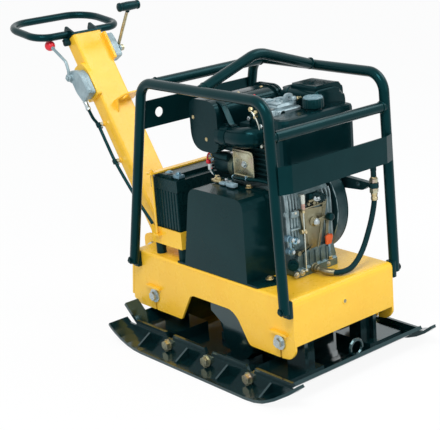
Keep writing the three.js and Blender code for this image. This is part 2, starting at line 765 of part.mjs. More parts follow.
function deckShell() {
  const profile = outline([
    [deckRearFoot, 125], [deckRear, deckTop, deckBend + 6], [deckFront, deckTop, deckBend + 6],
    [deckFront, frontPlateFoot], [deckFront - deckThickness + 2, frontPlateFoot],
    [deckFront - deckThickness + 2, underDeck, deckBend - 4],
    [deckRear + deckThickness + 1, underDeck, deckBend - 4], [deckRearFoot + deckThickness, 125],
  ]);
  const sheet = alongY(profile, -deckHalfWidth, deckHalfWidth, { segments: 4 });
  const section = rectangle(-deckHalfWidth, -reach, deckHalfWidth, deckTop, 12);
  const rounded = common(sheet, alongX(section, deckRearFoot - 10, deckFront + 10, { segments: 4 }));
  const lugs = mirrored.map(([, side]) => sidePrism(lugOutline(), side, lugSpread - lugThickness / 2,
    lugSpread + lugThickness / 2, { segments: 6 }));
  const stop = bar(handlePoint(-columnDepth / 2 - 7 - seat, -lugSpread, 8),
    handlePoint(-columnDepth / 2 - 7 - seat, lugSpread, 8), 7, 12);
  const pinHole = bar([pivotPlace, -reach, pivotHeight], [pivotPlace, reach, pivotHeight],
    pinRadius + seat, pinSides);
  const slot = block(8, 152, -192, -138, underDeck - 20, deckTop + 20);
  const service = bar([deckFront - 30, 0, 234], [deckFront + 20, 0, 234], 7.5, 16);
  return cut(join(rounded, ...lugs, stop), pinHole, slot, service);
}

function sidePlate(side) {
  const inside = deckFront - deckThickness + 2 - seat;
  const profile = outline([
    [deckRear + deckThickness + 2.4, underDeck - seat, 16], [deckRearFoot + deckThickness + 1.4, 125],
    [deckRearFoot + deckThickness, 112, 12], [-433, sidePlateFoot], [mountRear - 4, sidePlateFoot],
    [mountRear - 4, 122], [mountRear + 4, 122], [mountRear + 4, sidePlateFoot],
    [-191, sidePlateFoot, 4], [-136, 190, 10], [-118, notchTop + 1, 8], [76, notchTop + 1, 40],
    [107, 176, 16], [158, sidePlateFoot, 14], [290, sidePlateFoot], [mountFront - 4, sidePlateFoot],
    [mountFront - 4, 122], [mountFront + 4, 122], [mountFront + 4, sidePlateFoot],
    [352, 101, 16], [deckFront, 128, 20], [deckFront, frontPlateFoot - seat], [inside, frontPlateFoot - seat],
    [inside, underDeck - seat, 16],
  ]);
  const plate = sidePrism(profile, side, deckHalfWidth - sidePlateThickness, deckHalfWidth);
  const ledges = mountPlaces.map(([, place]) => sideBlock(place - 37, place + 37, side,
    deckHalfWidth - 2, deckHalfWidth + 11, mountHeight + 27, mountHeight + 35));
  const holes = mountPlaces.map(([, place]) => bar([place, side * 180, mountHeight],
    [place, side * 260, mountHeight], boltRadius + seat, boltSides));
  return cut(join(plate, ...ledges), ...holes);
}

// Handle frame: u points forward out of the column's front face, w runs up the column
function onHandle(geometry) {
  return geometry.rotateY(radians(-columnLean)).translate(pivotPlace, 0, pivotHeight);
}

function handlePoint(u, y, w) {
  return new THREE.Vector3(u, y, w).applyAxisAngle(new THREE.Vector3(0, 1, 0), radians(-columnLean))
    .add(new THREE.Vector3(pivotPlace, 0, pivotHeight)).toArray();
}

add('deck_shell', deckShell(), yellow);
mirrored.forEach(([label, side]) => add(`side_plate_${label}`, sidePlate(side), yellow));

// Protective cage
const tubeSides = 12;

function hoopRoute(side) {
  return [[legRear, side * railHalfWidth, legFoot], [railRear, side * railHalfWidth, railHeight],
    [railFront, side * railHalfWidth, railHeight], [legFront, side * railHalfWidth, legFoot]];
}

function hoopTube(side, radius) {
  return tube(hoopRoute(side), radius, cornerRadius, { sides: tubeSides, bendSteps: 5 });
}

function cageHoop(side) {
  const feet = [legRear, legFront].map((place) => {
    const shape = outline([[place - 17, legFoot - 18, 6], [place + 15, legFoot - 18, 6],
      [place + 15, deckTop, 4], [place - 17, deckTop, 4]]);
    return sidePrism(shape, side, deckHalfWidth + seat, railHalfWidth - 6);
  });
  const boltPlace = legFoot + 10;
  const bolts = [legRear, legFront].map((place) => bar(
    [place, side * (railHalfWidth + 12), boltPlace],
    [place, side * (railHalfWidth + 21), boltPlace], 9, 6));
  return join(hoopTube(side, tubeRadius), ...feet, ...bolts);
}

const coping = mirrored.map(([, side]) => hoopTube(side, tubeRadius + seat));

function liftingBar() {
  const peak = railHeight + liftingBarRise;
  const corners = [[liftingBarPlace, -railHalfWidth, railHeight + 11], [liftingBarPlace, 0, peak + 4],
    [liftingBarPlace, railHalfWidth, railHeight + 3]];
  return cut(tube(corners, tubeRadius, 150, { sides: tubeSides, bendSteps: 4 }), ...coping);
}

function crossbar(x, z) {
  return cut(bar([x, -railHalfWidth, z], [x, railHalfWidth, z], tubeRadius, tubeSides), ...coping);
}

function frontPanel() {
  const legLean = (legFront - railFront) / (railHeight - legFoot);
  const legPlace = legFront - legLean * (panelBottom - legFoot);
  const seatX = legPlace + tubeRadius * Math.cos(Math.PI / tubeSides) + seat;
  const faceX = seatX + 15;
  const seatY = railHalfWidth - 2;
  const faceY = railHalfWidth - 42;
  const plan = [[seatX, -seatY], [faceX, -faceY], [faceX, faceY], [seatX, seatY]]
    .map(([x, y]) => new THREE.Vector2(x, y));
  return alongZ(strip(plan, -panelThickness), panelBottom, panelTop);
}

function guardPlate() {
  const place = railRear - 26;
  const eyeHeight = (guardPlateBottom + guardPlateTop) / 2;
  const plate = block(place - panelThickness / 2, place + panelThickness / 2, -railHalfWidth,
    railHalfWidth, guardPlateBottom, guardPlateTop);
  const eye = bar([place - 20, guardHolePlace, eyeHeight], [place + 20, guardHolePlace, eyeHeight],
    guardHoleRadius, 16);
  return cut(plate, eye, ...coping);
}

mirrored.forEach(([label, side]) => add(`cage_hoop_${label}`, cageHoop(side), black));
add('lifting_bar', liftingBar(), black);
add('rear_crossbar', crossbar(rearBarPlace, railHeight), black);
add('front_crossbar', crossbar(railFront + 3, frontBarHeight), black);
add('front_panel', frontPanel(), black);
add('rear_guard_plate', guardPlate(), black);

// Battery in its tray on four rubber feet, held down by a bar and two rods
const batteryFront = batteryRear + batteryWidth;
const batteryFar = batterySide + batteryLength;
const trayRear = batteryRear - 18;
const trayFront = batteryFront + 6;
const trayNear = batterySide - 6;
const trayFar = batteryFar + 6;
const trayTop = trayFloor + trayHeight;
const lidTop = trayFloor + trayWall + seat + batteryHeight + 18;

function batteryTray() {
  const box = block(trayRear, trayFront, trayNear, trayFar, trayFloor, trayTop);
  const inside = block(trayRear + trayWall, trayFront - trayWall, trayNear + trayWall,
    trayFar - trayWall, trayFloor + trayWall, trayTop + 10);
  const tabs = [trayNear, trayFar].map((edge, i) => block(holdDownPlace - 14, holdDownPlace + 14,
    i === 0 ? edge - 16 : edge - 2, i === 0 ? edge + 2 : edge + 16, trayTop - 28, trayTop - 22));
  const feet = [trayRear + 20, trayFront - 20].flatMap((x) => [trayNear + 20, trayFar - 20]
    .map((y) => bar([x, y, deckTop + seat], [x, y, trayFloor + 2], trayFootRadius, 10)));
  return join(cut(box, inside), ...tabs, ...feet);
}

function battery() {
  const bottom = trayFloor + trayWall + seat;
  const top = bottom + batteryHeight;
  const plan = new THREE.Shape();
  const ribs = 9;
  const step = batteryWidth / ribs;
  plan.moveTo(batteryRear, batterySide);
  for (let i = 0; i < ribs; i += 1) {
    const start = batteryRear + i * step;
    plan.lineTo(start + step * 0.55, batterySide);
    plan.lineTo(start + step * 0.65, batterySide + 3);
    plan.lineTo(start + step * 0.9, batterySide + 3);
    plan.lineTo(start + step, batterySide);
  }
  plan.lineTo(batteryFront, batteryFar);
  plan.lineTo(batteryRear, batteryFar);
  plan.closePath();
  const lid = block(batteryRear - 2, batteryFront + 2, batterySide - 2, batteryFar + 2, top - 34, top + 6);
  const cover = block(batteryRear + 8, batteryFront - 36, batterySide + 8, batteryFar - 8, top + 5, lidTop);
  const poles = [batterySide + 26, batteryFar - 26].map((y) => bar([batteryFront - 17, y, top + 4],
    [batteryFront - 17, y, top + 22], 8, 8));
  const clamps = [batterySide + 26, batteryFar - 26].map((y) => block(batteryFront - 32, batteryFront - 2,
    y - 13, y + 13, top + 5, top + 15));
  return join(alongZ(plan, bottom, top), lid, cover, ...poles, ...clamps);
}

function holdDown() {
  const bottom = lidTop + seat;
  const near = trayNear - 9;
  const far = trayFar + 9;
  const strap = alongZ(rectangle(holdDownPlace - holdDownWidth / 2, near - 14,
    holdDownPlace + holdDownWidth / 2, far + 14, 6), bottom, bottom + 5);
  const rods = [near, far].map((y) => bar([holdDownPlace, y, trayTop - 21.5], [holdDownPlace, y, bottom + 16],
    rodRadius, 8));
  const nuts = [near, far].map((y) => bar([holdDownPlace, y, bottom + 4], [holdDownPlace, y, bottom + 11],
    8, 6));
  return join(strap, ...rods, ...nuts);
}

add('battery_tray', batteryTray(), yellow);
add('battery', battery(), black);
add('battery_hold_down', holdDown(), yellow);

// Engine: crankcase, cylinder and head stand on the deck in front of the battery
const engineBottom = deckTop + seat;
const crankNear = crankcaseNear - seat;

// Oil filler on the front corner of the crankcase, pointing forwards and to the right
const fillerFoot = [crankcaseFront - 18, crankcaseNear + 18, deckTop + 52];
const fillerAxis = new THREE.Vector3(1, -1, 0).normalize();

function alongFiller(distance) {
  return new THREE.Vector3(...fillerFoot).addScaledVector(fillerAxis, distance).toArray();
}

function crankcase() {
  const body = alongY(outline([
    [crankcaseRear - 20, engineBottom], [crankcaseFront + 13, engineBottom],
    [crankcaseFront + 13, engineBottom + 22], [crankcaseFront - 8, engineBottom + 44],
    [crankcaseFront, engineBottom + 90], [crankcaseFront, crankcaseTop - 60, 30],
    [crankcaseFront - 38, crankcaseTop, 14], [crankcaseRear + 34, crankcaseTop, 20],
    [crankcaseRear, crankcaseTop - 50, 30], [crankcaseRear, engineBottom + 60],
    [crankcaseRear - 20, engineBottom + 26],
  ]), crankcaseNear, crankcaseFar, { segments: 3, bevel: 9 });
  const webTop = deckTop + 80;
  const web = alongX(outline([[crankcaseNear + 4, deckTop + 30], [crankcaseFar - 6, deckTop + 30],
    [crankcaseFar - 18, webTop, 10], [crankcaseNear + 20, webTop, 10]]),
  crankcaseFront - 12, crankcaseFront + 6);
  const ribs = [-50, -25, 0, 25, 50].map((y) => block(crankcaseFront - 12, crankcaseFront + 10,
    y + 8, y + 13, engineBottom + 10, webTop - 8));
  const cover = alongY(disc(crankPlace, crankHeight, 92), crankcaseNear - 3, crankcaseNear + 12,
    { segments: 7 });
  const bearing = bar([crankPlace, crankcaseNear - 10, crankHeight],
    [crankPlace, crankcaseNear + 22, crankHeight], turningBore(shaftRadius, shaftSides), shaftSides);
  const filler = bar(alongFiller(0), alongFiller(40), 14, 12);
  const fillerBore = bar(alongFiller(24), alongFiller(50), 9 + seat, 12);
  const outlet = bar([crankcaseFront + 5, -4, deckTop + 18], [crankcaseFront + 29, -4, deckTop + 18],
    11, 8);
  return cut(join(body, web, ...ribs, cover, filler, outlet), bearing, fillerBore);
}

const cylinderMiddle = 8;
const cylinderHalf = 74;

function cylinder() {
  const foot = crankcaseTop + seat;
  const middleX = crankPlace;
  const middleY = cylinderMiddle;
  const core = alongZ(rectangle(middleX - cylinderWidth / 2, middleY - cylinderLength / 2,
    middleX + cylinderWidth / 2, middleY + cylinderLength / 2, 18), foot, headTop, { segments: 1 });
  const pitch = (cylinderTop - foot - finThickness) / finCount;
  const fins = Array.from({ length: finCount }, (_, i) => alongZ(rectangle(
    middleX - cylinderWidth / 2 - finReach, middleY - cylinderLength / 2 - finReach,
    middleX + cylinderWidth / 2 + finReach, middleY + cylinderLength / 2 + finReach, 14),
  foot + (i + 0.5) * pitch, foot + (i + 0.5) * pitch + finThickness, { segments: 1 }));
  const head = block(middleX - 78, middleX + 78, middleY - cylinderHalf, middleY + cylinderHalf,
    cylinderTop, headTop);
  return join(core, ...fins, head);
}

function rockerCover() {
  const foot = headTop + seat;
  const box = alongZ(rectangle(36, -36, 152, 76, 22), foot, rockerTop - 16, { segments: 2, bevel: 3 });
  const crown = alongZ(rectangle(46, -26, 142, 66, 20), rockerTop - 24, rockerTop, { segments: 2, bevel: 7 });
  const plug = bar([62, -14, rockerTop - 4], [62, -14, rockerTop + 12], 10, 10);
  const eye = alongX(outline([[22, rockerTop - 4], [62, rockerTop - 4], [58, rockerTop + 26, 12],
    [26, rockerTop + 26, 12]]), 116, 126, { segments: 3 });
  const eyeHole = bar([100, 42, rockerTop + 11], [140, 42, rockerTop + 11], 7, 8);
  const lever = bar([100, -22, rockerTop - 12], [100, -50, rockerTop + 2], 6, 8);
  return cut(join(box, crown, plug, eye, lever), eyeHole);
}

add('crankcase', crankcase(), grey);
add('cylinder', cylinder(), castBlack);
add('rocker_cover', rockerCover(), grey);

// Fuel tank on two straps, with a seam below its top edge, and the cap in its neck
const capPlace = [215, 60];

function fuelTank() {
  const body = (inset) => rectangle(tankRear + inset, tankNear + inset, tankFront - inset,
    tankFar - inset, 24);
  const shell = alongZ(body(3), tankBottom, tankTop, { segments: 3, bevel: 12, steps: 2 });
  const seam = alongZ(body(0), tankTop - 34, tankTop - 30, { segments: 3 });
  const neck = bar([...capPlace, tankTop - 4], [...capPlace, tankTop + 6], 26, 14);
  const posts = [24, 84].map((y) => bar([crankcaseFront - 54, y, crankcaseTop + seat],
    [crankcaseFront - 54, y, tankBottom + 10], 12, 8));
  return join(shell, seam, neck, ...posts);
}

function fuelCap() {
  const [x, y] = capPlace;
  const base = tankTop + 6 + seat;
  const skirt = new THREE.Shape();
  const lobes = 10;
  for (let i = 0; i < lobes * 2; i += 1) {
    const radius = i % 2 === 0 ? capRadius : capRadius - 3;
    const angle = (Math.PI * i) / lobes;
    const point = [x + radius * Math.cos(angle), y + radius * Math.sin(angle)];
    if (i === 0) skirt.moveTo(...point);
    else skirt.lineTo(...point);
  }
  skirt.closePath();
  const crown = bar([x, y, base + 28], [x, y, base + 35], capRadius - 6, 16);
  const grip = block(x - 24, x + 24, y - 5, y + 5, base + 33, base + 38);
  return join(alongZ(skirt, base, base + 30), crown, grip);
}

add('fuel_tank', fuelTank(), black);
add('fuel_cap', fuelCap(), black);

// Air cleaner with its elbow to the inlet port, and the muffler with its exhaust pipe
function airCleaner() {
  const end = (grow) => outline([[airRear - grow, airBottom - grow, 48],
    [airFront + grow, airBottom - grow, 24],
    [airFront + grow, airTop + grow, 60], [airRear - grow, airTop + grow, 56]]);
  const drum = alongY(end(0), -airHalfLength, airHalfLength, { segments: 4, bevel: 5 });
  const rim = alongY(end(4), airHalfLength - 8, airHalfLength + 12, { segments: 4, bevel: 3 });
  const elbowSide = -108;
  const turn = [crankPlace + 12, elbowSide, cylinderTop];
  const port = cylinderMiddle - cylinderLength / 2 - finReach - 0.5;
  const elbow = join(bar([airFront - 14, elbowSide, cylinderTop - 4], turn, elbowRadius, 12),
    bar(turn, [turn[0], port, cylinderTop], elbowRadius, 12),
    new THREE.SphereGeometry(elbowRadius, 12, 6).translate(...turn));
  const collar = bar([airFront - 2, elbowSide, cylinderTop - 4], [airFront + 12, elbowSide, cylinderTop - 4],
    elbowRadius + 5, 12);
  const foot = block(-60, crankPlace - cylinderHalf - finReach - seat, 20, 60,
    airBottom + 10, airBottom + 22);
  const screws = [[-126, airTop - 52], [-66, airTop - 110]].map(([x, z]) => bar(
    [x, -airHalfLength - 6, z], [x, -airHalfLength + 4, z], 7, 6));
  const topScrews = [-40, 90].map((y) => bar([-70, y, airTop - 6], [-70, y, airTop + 6], 6, 6));
  return join(drum, rim, elbow, collar, foot, ...screws, ...topScrews);
}

// The muffler: a rounded can along X, under a hood that turns down behind the fuel tank
function muffler() {
  const hoodFront = tankRear + 44;
  const hoodFoot = tankTop + 7;
  const canFront = tankRear - 5;
  const hoodBack = railHalfWidth - tubeRadius - 3;
  const hood = alongY(outline([[30, mufflerTop - hoodThickness], [30, mufflerTop],
    [hoodFront, mufflerTop, 48], [hoodFront, hoodFoot], [hoodFront - hoodThickness, hoodFoot],
    [hoodFront - hoodThickness, mufflerTop - hoodThickness, 34]]), 150, hoodBack,
  { segments: 5, bevel: 4 });
  const can = alongX(rectangle(100, mufflerTop - 92, 188, mufflerTop - 18, 34), 8, canFront,
    { segments: 4, bevel: 8 });
  const seam = alongX(rectangle(97, mufflerTop - 58, 191, mufflerTop - 53), 5, canFront + 3);
  const pipe = bar([72, 99, headTop - 9], [72, 130, mufflerTop - 76], 17, 10);
  const flange = block(40, 104, cylinderMiddle + cylinderHalf + seat, 100, headTop - 28, headTop + 4);
  const outlet = tube([[20, 168, mufflerTop - 50], [-16, 168, mufflerTop - 50], [-34, 168, mufflerTop - 32]],
    14, 30, { sides: 8, bendSteps: 2 });
  return join(hood, can, seam, pipe, flange, outlet);
}

// Flywheel housing with the recoil starter on it, and an arm whose eye holds the hose's fitting
function fanHousing() {
  const near = crankcaseFar + seat;
  const drum = turnedY([[0, near], [fanRadius, near], [fanRadius, fanFar - 26], [fanRadius - 26, fanFar],
    [0, fanFar]], crankPlace, crankHeight, 24);
  const duct = alongY(rectangle(crankPlace - 76, crankHeight, crankPlace + 76, cylinderTop - 3, 14),
    near, near + 44, { segments: 2 });
  const recoil = turnedY([[0, fanFar - 4], [recoilRadius, fanFar - 4], [recoilRadius, recoilFar - 18],
    [recoilRadius - 20, recoilFar], [34, recoilFar], [34, recoilFar - 4], [0, recoilFar - 4]],
  crankPlace, crankHeight, 16);
  const gripSide = recoilFar - 24;
  const gripTurn = recoilRadius * Math.SQRT1_2;
  const grip = bar([crankPlace + gripTurn - 20, gripSide, crankHeight + gripTurn + 22],
    [crankPlace + gripTurn + 6, gripSide, crankHeight + gripTurn - 2], 11, 6);
  const [eyeX, eyeY] = hoseTop;
  const armTop = fittingTop - 16;
  const arm = alongY(outline([[crankPlace + gripTurn, armTop - 40], [eyeX - 40, armTop - 32, 8],
    [eyeX - 20, armTop - 17], [eyeX - 10, armTop - 17], [eyeX - 10, armTop - 3],
    [eyeX - 20, armTop - 3, 4], [crankPlace + gripTurn, armTop + 4]]), eyeY - 9, eyeY + 9, { segments: 2 });
  const window = bar([eyeX - 62, eyeY - 20, armTop - 15], [eyeX - 62, eyeY + 20, armTop - 15], 9, 10);
  const ring = bar([eyeX, eyeY, armTop - 18], [eyeX, eyeY, armTop - 2], fittingRadius + 5, 12);
  const bore = bar([eyeX, eyeY, armTop - 60], [eyeX, eyeY, armTop + 60], fittingRadius + seat, 12);
  return cut(join(drum, duct, recoil, grip, arm, ring), bore, window);
}

// Starter motor above the crankcase, and the plated bracket beside the cylinder
function starterMotor() {
  const foot = crankcaseTop + seat + 36;
  const motor = bar([-112, -58, foot], [-14, -58, foot], 36, 16);
  const nose = bar([-124, -58, foot], [-110, -58, foot], 24, 12);
  const solenoid = bar([-100, -88, foot + 32], [-34, -88, foot + 32], 14, 10);
  return join(motor, nose, solenoid);
}

function engineBracket() {
  const bottom = crankcaseTop + 14;
  const top = crankcaseTop + 104;
  const rear = crankPlace - 86;
  const front = crankPlace + 10;
  const plate = alongY(outline([[rear, bottom, 4], [front, bottom, 16], [front, top, 16], [rear, top, 4]]),
    -96, -91, { segments: 3 });
  const middle = (bottom + top) / 2;
  const bolt = bar([crankPlace - 33, -91.5, middle], [crankPlace - 33, -71 - seat, middle], 8, 10);
  const boltHex = bar([crankPlace - 33, -102, middle], [crankPlace - 33, -95.5, middle], 9, 6);
  return join(plate, bolt, boltHex);
}

// Upper belt guard: a shell open towards the engine and downwards, on two flanged feet
function beltGuard() {
  const profile = (inset, bottom) => outline([[crankPlace - 230 + inset, bottom],
    [crankPlace + 83 - inset, bottom], [crankPlace + 86 - inset, guardTop - inset, 38 - inset],
    [crankPlace - 178 + inset, guardTop - inset, 38 - inset]]);
  const shell = alongY(profile(0, engineBottom), guardNear, guardFar, { segments: 4 });
  const hollow = alongY(profile(guardWall, engineBottom - 20), guardNear + guardWall, guardFar + 10,
    { segments: 4 });
  const rim = alongY(profile(-2.5, guardTop - 60), guardFar - 30, guardFar - 24, { segments: 4 });
  const foot = (plan) => alongZ(plan, engineBottom, engineBottom + guardFootThickness);
  const front = foot(outline([[158, guardNear], [212, guardNear, 10], [236, guardNear + 60, 10],
    [236, guardFar - 30, 6], [158, guardFar - 30]]));
  const rearEdge = crankPlace - 226;
  const rear = foot(outline([[rearEdge, guardNear], [rearEdge, guardNear + 96],
    [rearEdge - guardFootReach * 0.6, guardNear + 40, 8], [rearEdge - guardFootReach, guardNear, 3]]));
  const screws = [[205, guardNear + 59], [rearEdge - 15, guardNear + 40]].map(([x, y]) => bar(
    [x, y, engineBottom + 4], [x, y, engineBottom + 15], 10, 6));
  const shellWithRim = cut(join(shell, common(rim, block(-200, 200, guardNear, guardFar,
    guardTop - 158, guardTop + 20))), hollow);
  return join(shellWithRim, front, rear, ...screws);
}

function clutchPulley() {
  const wheel = turnedY(pulleyProfile(clutchRadius, beltMiddle, 17), crankPlace, crankHeight, 16);
  const drum = bar([crankPlace, beltMiddle + 16, crankHeight], [crankPlace, beltMiddle + 48, crankHeight],
    50, 12);
  const shaft = bar([crankPlace, beltMiddle + 40, crankHeight],
    [crankPlace, crankcaseNear + 20, crankHeight], shaftRadius, shaftSides);
  const hub = bar([crankPlace, beltMiddle - 24, crankHeight], [crankPlace, beltMiddle - 16, crankHeight],
    14, 6);
  return join(wheel, drum, shaft, hub);
}

function vBelt() {
  const inset = beltThickness + 2 - seat;
  const loop = (grow, path) => {
    const upper = clutchRadius - inset + grow;
    const lower = exciterPulleyRadius - inset + grow;
    const lean = Math.asin((upper - lower) / (crankHeight - shaftHeight));
    path.absarc(crankPlace, crankHeight, upper, lean, Math.PI - lean, false);
    path.absarc(shaftPlaces[1], shaftHeight, lower, Math.PI - lean, Math.PI * 2 + lean, false);
    path.closePath();
    return path;
  };
  const shape = loop(beltThickness, new THREE.Shape());
  shape.holes.push(loop(0, new THREE.Path()));
  return alongY(shape, beltNear, beltNear + beltWidth, { segments: 8 });
}

// Speed control on the front of the crankcase: a plate with a dome and a push rod, and its lever
const controlFace = crankcaseFront + 6;
const leverCentre = [12, crankHeight - 8];

function speedControlPlate() {
  const top = crankHeight + 45;
  const bottom = top - 136;
  const rodPlace = [controlFace + 12, -42];
  const plate = alongX(outline([[-26, bottom, 4], [38, bottom, 4], [58, top, 4], [-50, top, 4]]),
    crankcaseFront + seat, controlFace, { segments: 2 });
  const ear = block(crankcaseFront + seat, controlFace + 20, -50, 50, top - 4, top);
  const dome = bar([controlFace - 1, ...leverCentre], [controlFace + 10, ...leverCentre], 17, 14);
  const rod = bar([...rodPlace, top - 2], [...rodPlace, deckTop + 16], 3.5, 8);
  const clevis = bar([...rodPlace, top + 38], [...rodPlace, top - 10], 6, 8);
  const guide = bar([...rodPlace, top - 96], [...rodPlace, top - 84], 7, 8);
  return join(plate, ear, dome, rod, clevis, guide);
}

function throttleLever() {
  const near = controlFace + 10 + seat;
  const [y, z] = leverCentre;
  const arm = alongX(outline([[y - 9, z - 9, 6], [y + 58, z + 2, 5], [y + 58, z + 14, 5], [y - 9, z + 9, 6]]),
    near, near + 4, { segments: 3 });
  const boss = bar([near, y, z], [near + 9, y, z], 9, 6);
  const knob = bar([near + 3, y + 50, z + 7], [near + 24, y + 50, z + 7], 10, 12);
  return join(arm, boss, knob);
}

function oilFillerCap() {
  const plug = bar(alongFiller(26), alongFiller(44), 8.5, 12);
  const cap = bar(alongFiller(40 + seat), alongFiller(56), 18, 14);
  const wing = bar(alongFiller(54), alongFiller(64), 12, 6);
  return join(plug, cap, wing);
}

function drainHose() {
  const [topX, topY] = hoseTop;
  const start = crankcaseFront + 31;
  const route = [[start, -4, 318], [282, -2, 316], [305, 4, 313], [332, 28, 312], [337, 76, 318],
    [332, 129, 357], [330, 171, 430], [329, 193, 490], [topX, topY, fittingBottom + 4]];
  const run = hose(route, hoseRadius, { sides: 6, steps: 16 });
  const armTop = fittingTop - 16;
  const fitting = bar([topX, topY, fittingBottom], [topX, topY, fittingTop], fittingRadius, 12);
  const lowerNut = bar([topX, topY, armTop - 36], [topX, topY, armTop - 18 - seat], fittingRadius + 4, 6);
  const upperNut = bar([topX, topY, armTop - 2 + seat], [topX, topY, fittingTop - 2], fittingRadius + 4, 6);
  const tail = bar([topX, topY, fittingTop - 2], hoseTop, hoseRadius, 6);
  return join(run, fitting, lowerNut, upperNut, tail);
}

add('air_cleaner', airCleaner(), black);
add('muffler', muffler(), castBlack);
add('fan_housing', fanHousing(), castBlack);
add('starter_motor', starterMotor(), castBlack);
add('engine_bracket', engineBracket(), brass);
add('belt_guard', beltGuard(), black);
add('clutch_pulley', clutchPulley(), steel);
add('v_belt', vBelt(), rubber);
add('speed_control_plate', speedControlPlate(), brass);
add('throttle_lever', throttleLever(), black);
add('oil_filler_cap', oilFillerCap(), black);
add('drain_hose', drainHose(), rubber);

// Handle: a box column on a pin between the lugs, with a loop on top
const shelfPlace = columnLength - 295;
const controlFoot = columnWidth / 2 + 15.5;
const farControlFoot = columnWidth / 2 + 5.5;
const clampPlaces = [columnLength - 347, columnLength - 499];

function handleColumn() {
  const half = columnDepth / 2;
  const section = rectangle(-half, -columnWidth / 2, half, columnWidth / 2, 8);
  const shaft = alongZ(section, 0, columnLength, { segments: 3 });
  const foot = bar([0, -columnWidth / 2, 0], [0, columnWidth / 2, 0], half, 18);
  const bushes = bar([0, -lugSpread + lugThickness / 2 + seat, 0],
    [0, lugSpread - lugThickness / 2 - seat, 0], 27, 14);
  const pinHole = bar([0, -reach, 0], [0, reach, 0], turningBore(pinRadius, pinSides), pinSides);
  const shelf = alongZ(outline([[half - 2, -23], [half + 26, -18, 4], [half + 66, 6, 10], [half + 66, 60, 10],
    [half - 2, 70]]), shelfPlace, shelfPlace + 5, { segments: 2 });
  const shelfHole = alongZ(rectangle(half + 18, 4, half + 52, 22, 8), shelfPlace - 6, shelfPlace + 14,
    { segments: 2 });
  const web = alongY(outline([[half - 2, shelfPlace - 44], [half + 30, shelfPlace + 2],
    [half - 2, shelfPlace + 2]]), -21, -15);
  const top = columnLength;
  const bracket = alongY(outline([[-34, top - 253, 8], [44, top - 253, 8], [44, top - 151, 26],
    [20, top - 109, 10], [-34, top - 109, 8]]), -controlFoot, -columnWidth / 2 + 4, { segments: 3 });
  const farBracket = alongY(outline([[-16, top - 127, 6], [48, top - 127, 6], [48, top - 15, 6],
    [-16, top - 15, 6]]), columnWidth / 2 - 4, farControlFoot, { segments: 2 });
  const stubs = clampPlaces.map((w) => bar([-24, 2 - controlFoot, w], [-24, -columnWidth / 2 + 3, w], 7, 8));
  return onHandle(cut(join(shaft, foot, bushes, shelf, web, bracket, farBracket, ...stubs), pinHole,
    shelfHole));
}

// The loop starts and ends at two gusset plates and swings round behind the column
function handleLoop() {
  const tilt = radians(8);
  const [startX, , startZ] = handlePoint(0, 0, columnLength + loopTubeRadius);
  const start = [startX, startZ];
  const loopPoint = (back, y) => [start[0] - back * Math.cos(tilt), y, start[1] + back * Math.sin(tilt)];
  const near = 12;
  const far = near + loopDepth + 14;
  const corners = [[near, -56], [near, -loopHalfWidth], [far, -loopHalfWidth], [far, loopHalfWidth],
    [near, loopHalfWidth], [near, 56]].map(([back, y]) => loopPoint(back, y));
  const ring = tube(corners, loopTubeRadius, 100, { sides: 10, bendSteps: 4 });
  const under = columnLength + seat;
  const plate = alongZ(rectangle(-38, -66, columnDepth / 2 + 3, 66, 4), under, under + topPlateThickness,
    { segments: 2 });
  const gussets = mirrored.map(([, side]) => sidePrism(outline([[columnDepth / 2 + 2, under + 4],
    [columnDepth / 2 - 6, under + 12, 3], [-4, under + 54, 6], [-26, under + 40, 4], [-37, under + 4]]),
  side, 49, 57));
  const stop = bar([-8, -columnWidth / 2 - 3.5, under - 13],
    [-8, -columnWidth / 2 - 25.5, under - 13], 11, 10);
  const stopWeb = block(-16, 0, -columnWidth / 2 - 25.5, -columnWidth / 2 - seat - 0.1,
    under - 5, under + 4);
  return join(ring, ...[plate, ...gussets, stop, stopWeb].map(onHandle));
}

function pivotPin() {
  const end = lugSpread + lugThickness / 2 + seat;
  const pin = bar([pivotPlace, -end - 2, pivotHeight], [pivotPlace, end + 2, pivotHeight],
    pinRadius, pinSides);
  const heads = mirrored.map(([, side]) => bar([pivotPlace, side * end, pivotHeight],
    [pivotPlace, side * (end + 9), pivotHeight], 22, 6));
  return join(pin, ...heads);
}

// Control housings with their levers. The right one turns about Y beside the column
const rightPivot = [-18, columnLength - 145];
const leftPivot = [40, columnLength - 91];

function rightControl() {
  const top = columnLength;
  const foot = -controlFoot - seat;
  const box = alongY(outline([[-24, top - 130, 8], [24, top - 138, 14], [41, top - 168, 10],
    [41, top - 244, 8], [-16, top - 248, 8]]), -104, foot, { segments: 2, bevel: 3 });
  const cover = alongY(outline([[-42, top - 154, 8], [-44, top - 128, 12], [-10, top - 122, 10],
    [30, top - 140, 14], [48, top - 166, 12], [48, top - 244, 12], [-12, top - 256, 10],
    [-27, top - 208, 8], [-27, top - 166, 6]]), -118, -98, { segments: 2, bevel: 4 });
  const boss = bar([rightPivot[0], -122, rightPivot[1]], [rightPivot[0], -114, rightPivot[1]], 15, 10);
  const nose = bar([-10, -108, top - 248], [-11, -108, top - 285], 8, 10);
  return onHandle(join(box, cover, boss, nose));
}

function rightLever() {
  const near = -122 - seat;
  const [u, w] = rightPivot;
  const hub = bar([u, near, w], [u, near - 9, w], 14, 12);
  const path = [[u, w], [u - 8, w + 36], [u - 4, w + 70], [u - 32, w + 146]];
  const arm = tube(path.map(([a, b]) => [a, near - 5, b]), 4.8, 16, { sides: 6, bendSteps: 2 });
  const ball = new THREE.SphereGeometry(ballRadius, 10, 7).translate(u - 38, near - 5, w + 162);
  return onHandle(join(hub, arm, ball));
}

